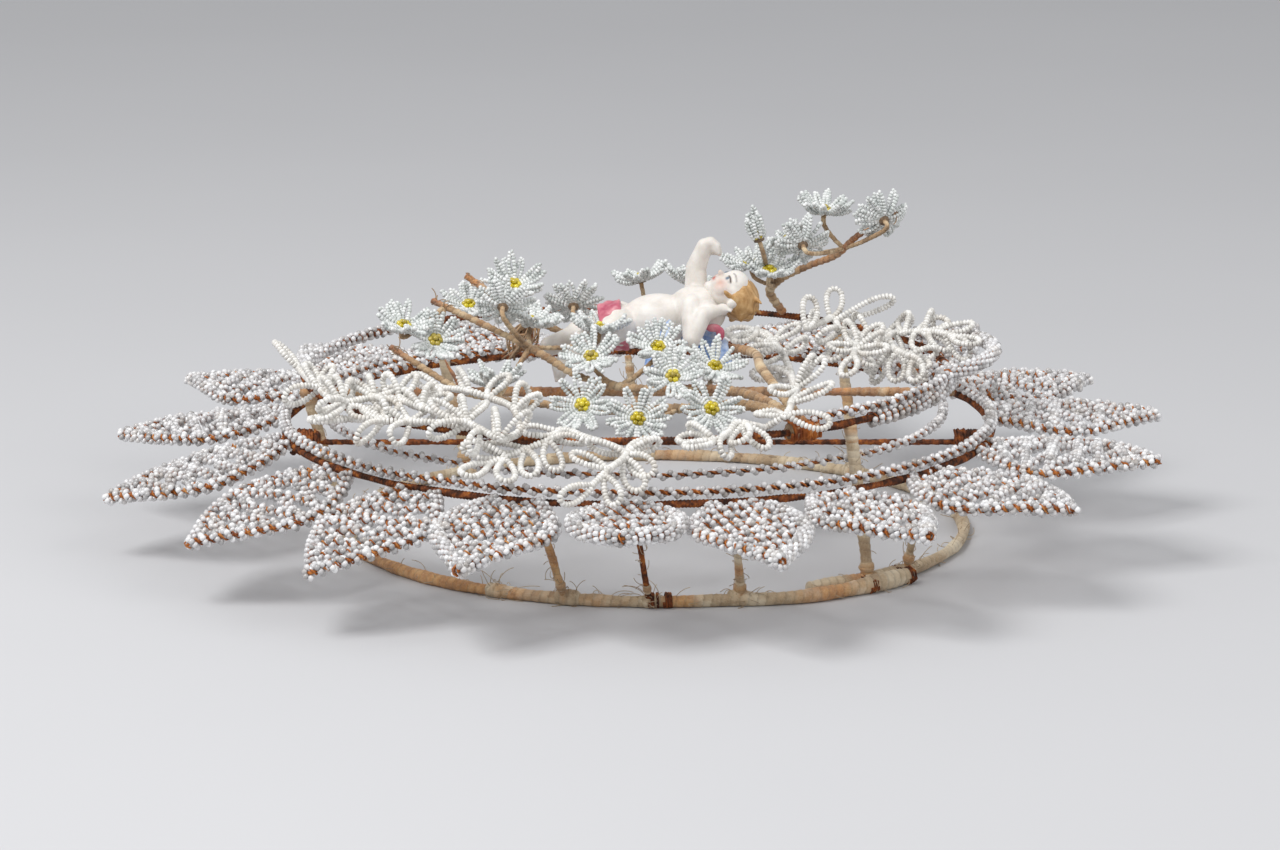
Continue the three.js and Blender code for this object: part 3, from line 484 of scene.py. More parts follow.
# Leaves: a thick outline and a net inside it, both of beads wound on wire
leaf = {
    # each jitter: how far it wanders, and over how many points
    "bead": (2.65, 2.15), "step": 2.0, "jitter": (0.7, 9), "netJitter": (0.7, 3), "wireRadius": 0.7,
    # the radius and pitch of each winding
    "openWinding": (2.0, 5.0), "tightWinding": (2.6, 2.9), "netWinding": (1.5, 5.0),
    # the form: half widths, the share of its length where it is widest, and how full it is towards its tip
    "rootHalf": 8, "bandHalf": 1.9, "leastHalf": 0.6, "widestShare": 0.44, "tipPower": 1.35, "tipGap": 2.2,
    "bluntPower": 3.0, "bluntLeaf": "leaf_06", "camber": 3, "camberHalf": 33,
    # the net: lines that cross from side to side start between two shares of the length and end by a third
    "netShares": (0.06, 0.86, 0.93), "netGap": 9.6, "netSpan": 1.3, "netLoose": (-2, 2),
    "netRise": (-0.8, 1.0), "netLayer": 0.4,
    # where an outline is wound tight, as shares of its way round
    "tightShares": {"leaf_07": (0.42, 0.97), "leaf_06": (0.2, 0.8), "leaf_05": (0.06, 0.55),
                    "leaf_04": (0.34, 0.52)},
}


def nodePoints(node):
    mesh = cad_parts[node].data
    points = np.empty(len(mesh.vertices) * 3)
    mesh.vertices.foreach_get("co", points)
    return points.reshape(-1, 3) * 1000


def leafHalfAt(share, half, power):
    # rises as a quarter sine to the widest place, then falls to the tip as one less a power
    rise = leaf["rootHalf"] + (half - leaf["rootHalf"]) * np.sin(np.pi / 2 * share / leaf["widestShare"])
    beyond = np.clip((share - leaf["widestShare"]) / (1 - leaf["widestShare"]), 0, 1)
    return np.where(share < leaf["widestShare"], rise, half * (1 - beyond ** power))


def addLeaf(node):
    points = nodePoints(node)
    centre = np.array([lowerRing["x"], lowerRing["y"], lowerRing["height"]])
    out = np.linalg.norm((points - centre)[:, :2], axis=1)
    tip = points[out > out.max() - 1].mean(axis=0)
    root = centre + unit((tip - centre) * [1, 1, 0]) * lowerRing["radius"]
    x = unit(tip - root)
    y = unit(np.cross([0, 0, 1], x))
    z = np.cross(x, y)
    reach = np.linalg.norm(tip - root)
    half = np.abs((points - root) @ y).max()
    chance = chanceFor(node)

    def place(along, across, high=0.0):
        # a place on the leaf, which arches along its length and bends up towards its sides
        bow = leaf["camber"] * ((across / leaf["camberHalf"]) ** 2 - (1 - along / reach) * along / reach)
        return root + along[:, None] * x + across[:, None] * y + (high - bow)[:, None] * z

    share = np.linspace(0.0, 1.0, 40)
    power = leaf["bluntPower"] if node == leaf["bluntLeaf"] else leaf["tipPower"]
    edge = np.maximum(leafHalfAt(share, half, power) - leaf["bandHalf"], 0)
    end = reach - leaf["tipGap"]
    along = share * end
    side = np.stack([along, edge], axis=1)[edge > leaf["leastHalf"]]
    loop = np.concatenate([side, [[end, 0]], (side * [1, -1])[::-1]])
    outline = shaken(evenPath(place(loop[:, 0], loop[:, 1]), leaf["step"]), *leaf["jitter"], chance)
    parts = [tube(outline, leaf["wireRadius"], bindingWire, sides=5)]
    first, last = (int(at * len(outline)) for at in leaf["tightShares"].get(node, (0, 0)))
    for run, winding in ((outline[:first + 1], "openWinding"), (outline[first:last + 1], "tightWinding"),
                         (outline[last:], "openWinding")):
        if len(run) > 4:
            parts += wound(run, leaf[winding], leaf["bead"], chance)
    netStart, netStop, netEnd = (at * reach for at in leaf["netShares"])
    t = np.linspace(0, 1, 9)
    for sign in (1, -1):
        for start in np.arange(netStart, netStop, leaf["netGap"]):
            end = min(start + leaf["netSpan"] * leaf["netGap"] + chance.uniform(*leaf["netLoose"]), netEnd)
            across = sign * np.array([1, -1]) * np.interp([start, end], along, edge)
            high = chance.uniform(*leaf["netRise"]) * np.sin(np.pi * t) + leaf["netLayer"] * sign
            chord = place(start + t * (end - start), across[0] + t * (across[1] - across[0]), high)
            chord = shaken(chord, *leaf["netJitter"], chance)
            parts += wound(chord, leaf["netWinding"], leaf["bead"], chance, chance.uniform(0, 1))
    makePiece("beaded_" + node, parts, "pearl_beads", node)


for node in sorted(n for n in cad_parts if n.startswith("leaf_")):
    addLeaf(node)
print("leaves made")

# Edgings: open turns of beads along the rings
edging = {
    "bead": (2.6, 2.2), "step": 2, "jitter": (0.35, 12), "wireRadius": 0.8,
    # each edging's ring, its rise above it, its turns in degrees, and its winding's radius and pitch
    "runs": {"edging_lower": (lowerRing, 4.6, (0, 360), (1.5, 6.3)),
             "edging_middle": (middleRing, 0, (0, 360), (1.1, 6.3)),
             "edging_upper": (upperRing, 4.6, (-57, -13), (1.5, 6.3))},
    # closer turns round the upper ring itself, at its right front and its left back
    "upperTurns": (((-44, 2), (2.9, 4.4)), ((128, 184), (1.9, 4.6))),
}


def addEdgings():
    for node, (ring, rise, turns, winding) in edging["runs"].items():
        chance = chanceFor(node)
        path = shaken(arcPath(ring, turns, edging["step"], rise), *edging["jitter"], chance)
        parts = wound(path, winding, edging["bead"], chance)
        parts.append(tube(path, edging["wireRadius"], rustedIron, sides=5))
        if node == "edging_upper":
            for closeTurns, closeWinding in edging["upperTurns"]:
                close = arcPath(upperRing, closeTurns, edging["step"])
                parts += wound(close, closeWinding, edging["bead"], chance)
        makePiece("beaded_" + node, parts, "pearl_beads", node)


addEdgings()
print("edgings made")

# Rods wrapped in strips, and bare rusted rods
wrap = {"rowsPerTurn": 8, "lumpGap": 9}


def wrappedRod(path, radius, chance, look, pitch, sides=10, ridge=0.2, lumps=0.16, stains=()):
    # radius times one plus a saw tooth that climbs along the strip's spiral, plus slow lumps
    coarse = len(path)
    path = evenPath(path, pitch / wrap["rowsPerTurn"])
    run = runAlong(path)
    if np.ndim(radius):
        radius = np.interp(np.linspace(0, 1, len(path)), np.linspace(0, 1, coarse), radius)
    phase = run[:, None] / pitch + np.arange(sides)[None, :] / sides
    tone = chance.uniform(0, 1, int(phase.max()) + 2)[phase.astype(int)]
    phase = phase % 1
    knots = np.arange(0, run[-1] + wrap["lumpGap"], wrap["lumpGap"])
    slow = np.interp(run, knots, chance.uniform(-1, 1, len(knots)))[:, None]
    reach = np.asarray(radius, float).reshape(-1, 1) * (1 + ridge * (phase - 0.5) + lumps * slow)
    stain = np.zeros(len(path))
    for middle, width, strength in stains:
        stain = np.maximum(stain, strength * np.exp(-(((run / run[-1] - middle) / width) ** 2)))
    # the ridge value also drives the painted shade at each turn's edge in the wrapped look
    return tube(path, reach, look, sides, ridge=phase, stain=stain, tone=tone)


# Loose fibres, drawn thicker than lint so that they show: shares of a fibre's length, or of the rod's radius
fray = {"radius": 0.16, "lengths": (0.4, 1.3), "rootDepth": 0.9, "lift": 0.45, "arch": 0.6, "bend": 0.5,
        "bendPower": 1.5, "follow": 1.2, "lowest": 0.3}


def frays(path, chance, radius, count, length, look=cottonWrap, thick=fray["radius"]):
    # each fibre leaves the rod's surface, then wanders and curls
    along, aside, third = framesAlong(path)
    parts = []
    t = np.linspace(0, 1, 8)[:, None]
    for row in chance.integers(1, len(path) - 1, count):
        turn = chance.uniform(0, 2 * np.pi)
        out = np.cos(turn) * aside[row] + np.sin(turn) * third[row]
        reach = length * chance.uniform(*fray["lengths"])
        bend = unit(chance.normal(size=3)) + chance.choice([-1, 1]) * along[row] * fray["follow"]
        lift = radius * fray["rootDepth"] + reach * fray["lift"] * np.sin(np.pi * fray["arch"] * t)
        line = path[row] + out * lift + bend * reach * fray["bend"] * t ** fray["bendPower"]
        line[:, 2] = np.maximum(line[:, 2], fray["lowest"])
        # a ridge value of one leaves the fibre without the painted edge shade of the wrapped look
        parts.append(tube(line, thick, look, sides=3, ridge=1.0))
    return parts


hoopWrap = {
    "lapStart": -62, "lapTurn": 20, "lapReach": 6.6, "lapShare": 0.06, "lapThick": 1.0, "step": 0.9,
    "thick": 4.9, "sink": 0.1, "fibres": {"count": 320, "length": 6},
    # where rust shows: share of the way round, its spread and its strength
    "strip": {"look": cottonWrap, "pitch": 3.6, "sides": 14, "ridge": 0.1,
              "stains": ((0.75, 0.07, 1.3), (0.82, 0.03, 0.55), (0.879, 0.012, 1.0), (0.95, 0.02, 0.9),
                         (0.03, 0.012, 0.9), (0.4, 0.05, 0.5), (0.6, 0.04, 0.6))},
    # each knot: turn in degrees, how far outside the hoop's middle, half its length in degrees
    "knots": ((-106, 0, 2.6), (-91, 0, 1.8), (-75, 0, 2.2), (-49, 2, 2.4), (-39, 0, 2.2), (-118, 0, 3.0),
              (47, 0, 2.4), (92, 0, 2.2), (129, 0, 2.4), (-172, 0, 2.6)),
    "knotSteps": (1, 0.7), "knotThin": 2.5, "knotSwell": 1.1, "knotPower": 0.7,
    "knotFibres": {"radius": 3.6, "count": 16, "length": 7},
    "knotStrip": {"look": cottonWrap, "pitch": 3.4, "sides": 12, "ridge": 0.12, "lumps": 0.3,
                  "stains": ((0.5, 0.3, 0.5),)},
    # each tie: turn in degrees, how far outside the hoop's middle, radius
    "ties": ((-90.5, 0, 3.1), (-88, 0, 3.0), (-51, 0, 3.4), (-51, 6.6, 3.6), (-42, 0, 3.4), (-42, 6.6, 3.6)),
    "tieHalf": 0.8, "tieSteps": (0.5, 0.4), "tiePitch": 1.1, "tieJitter": (0.4, 6), "tieWire": 0.55,
    "tieLowest": 0.6,
}


def hoopPath():
    # once round and a lap further, where the end moves out beside the start
    turn = np.linspace(0, 360 + hoopWrap["lapTurn"], int(2 * np.pi * baseHoop["radius"] / hoopWrap["step"]))
    share = np.clip((turn - (360 - hoopWrap["lapTurn"])) / hoopWrap["lapTurn"], 0, 1)
    radius = baseHoop["radius"] + hoopWrap["lapReach"] * share**2 * (3 - 2 * share)
    angle = np.radians(turn + hoopWrap["lapStart"])
    x = baseHoop["x"] + radius * np.cos(angle)
    return np.stack([x, baseHoop["y"] + radius * np.sin(angle), np.full_like(x, baseHoop["height"])], axis=1)


def addBaseHoop():
    chance = chanceFor("hoop")
    path = hoopPath()
    share = np.linspace(0, 1, len(path))
    swell = np.exp(-((np.minimum(share, 1 - share) / hoopWrap["lapShare"]) ** 2))
    radius = hoopWrap["thick"] / 2 + hoopWrap["lapThick"] * swell
    path[:, 2] = radius - hoopWrap["sink"]
    rods = [wrappedRod(path, radius, chance, **hoopWrap["strip"])]
    fibres = frays(path, chance, hoopWrap["thick"] / 2, **hoopWrap["fibres"])
    arcStep, knotStep = hoopWrap["knotSteps"]
    for turn, reach, half in hoopWrap["knots"]:
        knot = evenPath(arcPath(baseHoop, (turn - half, turn + half), arcStep, reach=reach), knotStep)
        swell = np.sin(np.linspace(0, np.pi, len(knot))) ** hoopWrap["knotPower"]
        radius = hoopWrap["knotThin"] + hoopWrap["knotSwell"] * swell
        rods.append(wrappedRod(knot, radius, chance, **hoopWrap["knotStrip"]))
        fibres += frays(knot, chance, **hoopWrap["knotFibres"])
    for rod in rods:
        rod["vertices"][:, 2] = np.maximum(rod["vertices"][:, 2], 0.0)  # pressed flat where it stands
    ties = []
    half = hoopWrap["tieHalf"]
    arcStep, tieStep = hoopWrap["tieSteps"]
    for turn, reach, radius in hoopWrap["ties"]:
        line = arcPath(baseHoop, (turn - half, turn + half), arcStep, reach=reach)
        wire = woundPath(line, radius, hoopWrap["tiePitch"], tieStep)
        wire = shaken(wire, *hoopWrap["tieJitter"], chance)
        wire[:, 2] = np.maximum(wire[:, 2], hoopWrap["tieLowest"])
        ties.append(tube(wire, hoopWrap["tieWire"], rustedIron, sides=5))
    makePiece("wrapped_base_hoop", rods + fibres + ties, "wrapped_cloth", "base_hoop")


addBaseHoop()


def nodeAxis(node):
    # the lower and upper end of a straight node: the means of its points in the last 3 mm at each end
    points = nodePoints(node)
    middle = points.mean(axis=0)
    direction = np.linalg.svd(points - middle, full_matrices=False)[2][0]
    direction = direction * np.sign(direction[2])
    run = (points - middle) @ direction
    return np.array([points[run < run.min() + 3].mean(axis=0), points[run > run.max() - 3].mean(axis=0)])


# Legs and struts: one strut is bare wire, and another is stained all along
leg = {"thick": {"leg": 4.6, "strut": 3.4}, "bare": "strut_2", "bareThick": 2.4, "stained": "strut_1",
       "step": 0.8, "jitter": (0.25, 14), "strip": {"pitch": 3, "ridge": 0.12},
       "fibres": {"count": 22, "length": 5},
       # stains, as for the hoop: at both ends and at one spot between two shares, or all along
       "ends": ((0.02, 0.06, 0.8), (0.98, 0.05, 0.9)), "spot": (0.3, 0.8, 0.1, 0.6),
       "allAlong": ((0.5, 1.0, 0.8),),
       # sleeves where it is wound to its hoop and its ring, as rows of its path
       "sleeves": (slice(3, 9), slice(-12, -5)), "swell": 0.35,
       "sleeveStrip": {"look": cottonWrap, "pitch": 2.4, "ridge": 0.15, "lumps": 0.3,
                       "stains": ((0.5, 0.5, 0.7),)}}


def stainsOf(kind, chance):
    low, high, width, strength = kind["spot"]
    return (*kind["ends"], (chance.uniform(low, high), width, strength))


def addLegs():
    for node in sorted(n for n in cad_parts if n.startswith(("leg_", "strut_"))):
        chance = chanceFor(node)
        bare = node == leg["bare"]
        radius = (leg["bareThick"] if bare else leg["thick"][node.split("_")[0]]) / 2
        path = shaken(evenPath(nodeAxis(node), leg["step"]), *leg["jitter"], chance)
        stains = stainsOf(leg, chance)
        if node == leg["stained"]:
            stains = leg["allAlong"]
        look = rustedIron if bare else cottonWrap
        parts = [wrappedRod(path, radius, chance, look, stains=stains, **leg["strip"])]
        parts += frays(path, chance, radius, **leg["fibres"])
        for rows in leg["sleeves"]:
            swell = 1 + leg["swell"] * np.sin(np.linspace(0, np.pi, len(path[rows])))
            parts.append(wrappedRod(path[rows], radius * swell, chance, **leg["sleeveStrip"]))
        makePiece("wrapped_" + node, parts, "wrapped_cloth", node)


addLegs()

# Rings of rusted wire, and the two rods across them: each one's thickness, slot and surface
ringRod = {"thick": 2.9, "step": 0.45, "jitter": (0.3, 30),
           "strip": {"look": rustedIron, "pitch": 1.5, "sides": 8, "ridge": 0.3, "lumps": 0.2}}
crossRods = {"cross_wire": (2.4, "rusted_iron", rustedIron),
             "cross_bar": (3.8, "paper_tape", crepePaper)}
crossStrip = {"pitch": 4, "sides": 8, "stains": ((0.3, 0.35, 0.75), (0.8, 0.25, 0.7))}


def addRings():
    for node, ring in (("lower_ring", lowerRing), ("upper_ring", upperRing)):
        chance = chanceFor(node)
        path = shaken(arcPath(ring, (0, 360), ringRod["step"]), *ringRod["jitter"], chance)
        rod = wrappedRod(path, ringRod["thick"] / 2, chance, **ringRod["strip"])
        makePiece("rusted_" + node, [rod], "rusted_iron", node)
    for node, (thick, slot, look) in crossRods.items():
        low, high, middle = boxOf(node)
        path = evenPath(np.array([[low[0], *middle[1:]], [high[0], *middle[1:]]]), 1.0)
        rod = wrappedRod(path, thick / 2, chanceFor(node), look, **crossStrip)
        makePiece("wrapped_" + node, [rod], slot, node)


addRings()

# Ties: three wires wound round what they hold. Each has its wire, what it lies on, and its radius
tie = {"kinds": {"binding_left": (rustedIron, rustedIron, 5.0),
                 "binding_right": (rustedIron, rustedIron, 5.0),
                 "bundle_binding": (bindingWire, crepePaper, 3.7)},
       "bundleReach": 6.5, "starts": (0, 0.37, 0.7), "pitch": 2.4, "step": 0.5, "jitter": (0.5, 7),
       "wireRadius": 0.65, "coreShare": 0.95,
       "core": {"pitch": 3, "lumps": 0.2, "stains": ((0.6, 0.3, 0.8),)}}


def addTies():
    for node, (wire, core, radius) in tie["kinds"].items():
        chance = chanceFor(node)
        low, high, middle = boxOf(node)
        direction = np.array([1.0, 0, 0])
        reach = (high[0] - low[0]) / 2
        if node == "bundle_binding":  # it lies along the upper ring
            direction = np.cross([0, 0, 1], unit(middle - [upperRing["x"], upperRing["y"], middle[2]]))
            reach = tie["bundleReach"]
        line = middle + np.linspace(-reach, reach, 40)[:, None] * direction
        parts = []
        for start in tie["starts"]:
            turns = woundPath(line, radius, tie["pitch"], tie["step"], start)
            parts.append(tube(shaken(turns, *tie["jitter"], chance), tie["wireRadius"], wire, sides=5))
        parts.append(wrappedRod(evenPath(line, 1), radius * tie["coreShare"], chance, core, **tie["core"]))
        makePiece("wire_" + node, parts, "rusted_iron", node)


addTies()
print("hoops and ties made")

# Branches: wire wound with crepe paper, from the tie on the upper ring or from its back
branch = {
    "thick": 4.0, "tipThick": 2.4, "step": 0.8,
    "strip": {"look": crepePaper, "pitch": 3.0, "sides": 12, "ridge": 0.3},
    "ends": ((0.0, 0.05, 0.9), (1.0, 0.05, 1.0)), "spot": (0.3, 0.7, 0.1, 0.8),
    "backStains": ((0.75, 0.4, 0.9), (0.0, 0.1, 0.9)),
    "tornRows": 12, "torn": {"radius": 1.2, "count": 10, "length": 4, "look": crepePaper, "thick": 0.25},
    "paths": {
        "branch_low": ((65, -116, 72), (44, -104, 76), (18, -100, 74), (-15, -93, 73), (-45, -84, 73),
                       (-71, -80, 77), (-85, -74, 84), (-100, -66, 92)),
        "branch_middle": ((65, -116, 72), (41, -84, 77), (25, -76, 77), (-3, -66, 75), (-25, -55, 78),
                          (-38, -46, 84), (-57, -36, 92), (-85, -20, 102)),
        "branch_high": ((65, -116, 72), (50, -67, 83), (45, -30, 83), (25, -14, 82), (5, -11, 83),
                        (-21, -9, 83), (-37, -5, 88), (-58, 0, 99), (-72, 4, 108)),
        "branch_back": ((64, 116, 70), (58, 111, 81), (62, 104, 87), (74, 99, 94), (86, 93, 100),
                        (97, 86, 111), (108, 82, 116), (112, 80, 121)),
    },
}
branchPaths = {name: smoothPath(points, branch["step"]) for name, points in branch["paths"].items()}


def addBranches():
    for name, path in branchPaths.items():
        chance = chanceFor(name)
        radius = np.linspace(branch["thick"] / 2, branch["tipThick"] / 2, len(path))
        stains = stainsOf(branch, chance)
        if name == "branch_back":
            stains = branch["backStains"]
        rod = wrappedRod(path, radius, chance, stains=stains, **branch["strip"])
        torn = frays(path[-branch["tornRows"]:], chance, **branch["torn"])
        makePiece("paper_" + name, [rod] + torn, "paper_tape", name)


addBranches()
print("branches made")

# Daisies: petals of one narrow loop of clear beads each, round a knob of yellow ones
daisy = {
    "bead": (1.95, 1.4), "petals": 18, "reach": 13.0, "reaches": (0.84, 1.0), "inner": 2.4, "petalHalf": 1.25,
    "cup": 4.6, "lifts": (0.55, 1.35), "turnLoose": 0.25, "twist": 0.55, "bend": 0.16,
    # a flower cupped more than this is a bud, with fewer and shorter petals that close towards their ends
    "budCup": 1.6, "budPetals": 9, "budReach": 0.6, "budClose": 0.45,
    "eyeBead": (2.5, 2.2), "eyeBeads": 6, "eyeReach": 2.0, "eyeRise": 1.2, "eyeTop": 2.4,
    "pad": (-1.2, 0.8), "padRadius": 2.4, "stemRadius": 1.05, "stemHeel": 4.5, "stemSag": 1.5,
    "stemStep": 1.0,
    "stemStrip": {"look": crepePaper, "pitch": 3, "sides": 6, "lumps": 0.08},
}

# Each twig: its branch, how far along it starts, then each flower's place, the way it faces and its cup
twigs = (
    ("branch_middle", 0.97, (((-83, -40, 89), (0.1, -0.7, 0.7), 1.1), ((-96, -40, 95), (0.2, -0.3, 0.9), 1))),
    ("branch_high", 0.93, (((-71, 14, 93), (0.0, -0.35, 0.9), 1), ((-52, 8, 103), (0.1, -0.55, 0.8), 1.3))),
    ("branch_middle", 0.74, (((-55, -47, 105), (0.05, 0.8, 0.42), 0.8),
                             ((-44, -27, 94), (0.2, -0.1, 0.95), 1), ((-58, -67, 77), (-0.1, 0, 1), 1.4),
                             ((-16, -30, 92), (0.1, 0.05, 1), 1))),
    ("branch_high", 0.62, (((-27, 11, 94), (0.05, 0.75, 0.5), 0.8), ((1, 41, 99), (-0.2, 0.1, 0.95), 1),
                           ((23, 30, 99), (0.3, 0.1, 0.9), 1))),
    ("branch_middle", 0.5, (((-19, -59, 86), (-0.1, -0.5, 0.8), 1), ((8, -54, 89), (0.1, -0.6, 0.75), 1))),
    ("branch_middle", 0.3, (((14, -78, 82), (0, -0.75, 0.65), 1), ((31, -62, 82.5), (0.2, -0.5, 0.8), 1))),
    ("branch_low", 0.3, (((-22, -104, 76), (-0.1, -0.85, 0.5), 1), ((0, -116, 73), (0.05, -0.85, 0.5), 1),
                         ((29, -111, 76), (0.15, -0.8, 0.55), 1))),
    ("branch_back", 0.22, (((49, 93, 96), (-0.2, -0.2, 0.95), 1), ((57, 81, 95), (0.1, -0.3, 0.95), 1.5),
                           ((52, 74, 111), (-0.3, -0.1, 0.95), 2.2))),
    ("branch_back", 0.66, (((71, 76, 108), (-0.2, 0.75, 0.4), 0.9), ((66, 105, 104), (-0.5, 0.1, 0.8), 1),
                           ((81, 89, 120), (0.1, -0.1, 0.97), 1.2),
                           ((106, 78, 118.5), (-0.3, 0.8, 0.35), 0.9))),
)


def daisyParts(centre, face, cup, chance):
    # a petal is a long narrow ellipse from the knob outwards, lifted towards its end as a square of its reach
    x = unit(np.cross([0, 1, 0.01], face))
    y = np.cross(face, x)
    parts = []
    t = np.linspace(0, 2 * np.pi, 26)
    bud = cup > daisy["budCup"]
    petals = daisy["budPetals"] if bud else daisy["petals"]
    for k in range(petals):
        turn = 2 * np.pi * (k + daisy["turnLoose"] * chance.uniform(-1, 1)) / petals
        reach = daisy["reach"] * chance.uniform(*daisy["reaches"]) * (daisy["budReach"] if bud else 1)
        out = daisy["inner"] + (reach - daisy["inner"]) * (1 - np.cos(t)) / 2
        wide = daisy["petalHalf"] * np.sin(t)
        lift = daisy["cup"] * cup * chance.uniform(*daisy["lifts"]) * (out / reach) ** 2
        if bud:
            out = out * (1.0 - daisy["budClose"] * (cup - 1) * out / reach)
        axis = np.cos(turn) * x + np.sin(turn) * y
        tilt = daisy["twist"] * chance.normal()
        square = math.cos(tilt) * np.cross(face, axis) + math.sin(tilt) * face
        axis = unit(axis + daisy["bend"] * chance.normal() * np.cross(face, axis))
        loop = centre + out[:, None] * axis + wide[:, None] * square + lift[:, None] * face
        parts.append(strung(loop, daisy["bead"], clearBead, chance))
    turn = 2 * np.pi * np.arange(daisy["eyeBeads"])[:, None] / daisy["eyeBeads"]
    knob = centre + daisy["eyeRise"] * face + daisy["eyeReach"] * (np.cos(turn) * x + np.sin(turn) * y)
    knob = np.concatenate([knob, [centre + daisy["eyeTop"] * face]])
    parts.append(beads(knob, np.tile(face, (len(knob), 1)), *daisy["eyeBead"], yellowBead, chance))
    pad = centre + np.linspace(*daisy["pad"], 3)[:, None] * face
    parts.append(tube(pad, daisy["padRadius"], crepePaper, sides=8))
    return parts


def addDaisies():
    for number, (branchName, share, flowers) in enumerate(twigs, 1):
        chance = chanceFor(f"twig{number}")
        path = branchPaths[branchName]
        start = path[int(share * (len(path) - 1))]
        parts = []
        for centre, face, cup in flowers:
            face = unit(np.array(face, float))
            heel = centre - daisy["stemHeel"] * face
            middle = (start + heel) / 2 - [0, 0, daisy["stemSag"]]
            stem = smoothPath([start, middle, heel, centre], daisy["stemStep"])
            parts.append(wrappedRod(stem, daisy["stemRadius"], chance, **daisy["stemStrip"]))
            parts += daisyParts(centre, face, cup, chance)
        makePiece(f"bead_daisies_{number}", parts, "glass_beads", f"daisy_twig_{number}")


addDaisies()
print("daisies made")

# Sprays: strings of chalk white beads, with loops to both sides and at the end
spray = {"bead": (2.85, 1.55), "stemBead": (3.2, 1.55), "stemWire": 0.8, "loopLong": 17,
         "loopLongs": (0.95, 1.05), "loopWide": 9, "stringWide": 8, "stringWides": (0.85, 1.1), "full": 1.2,
         "jitter": (0.5, 8), "stemStep": 1.0}

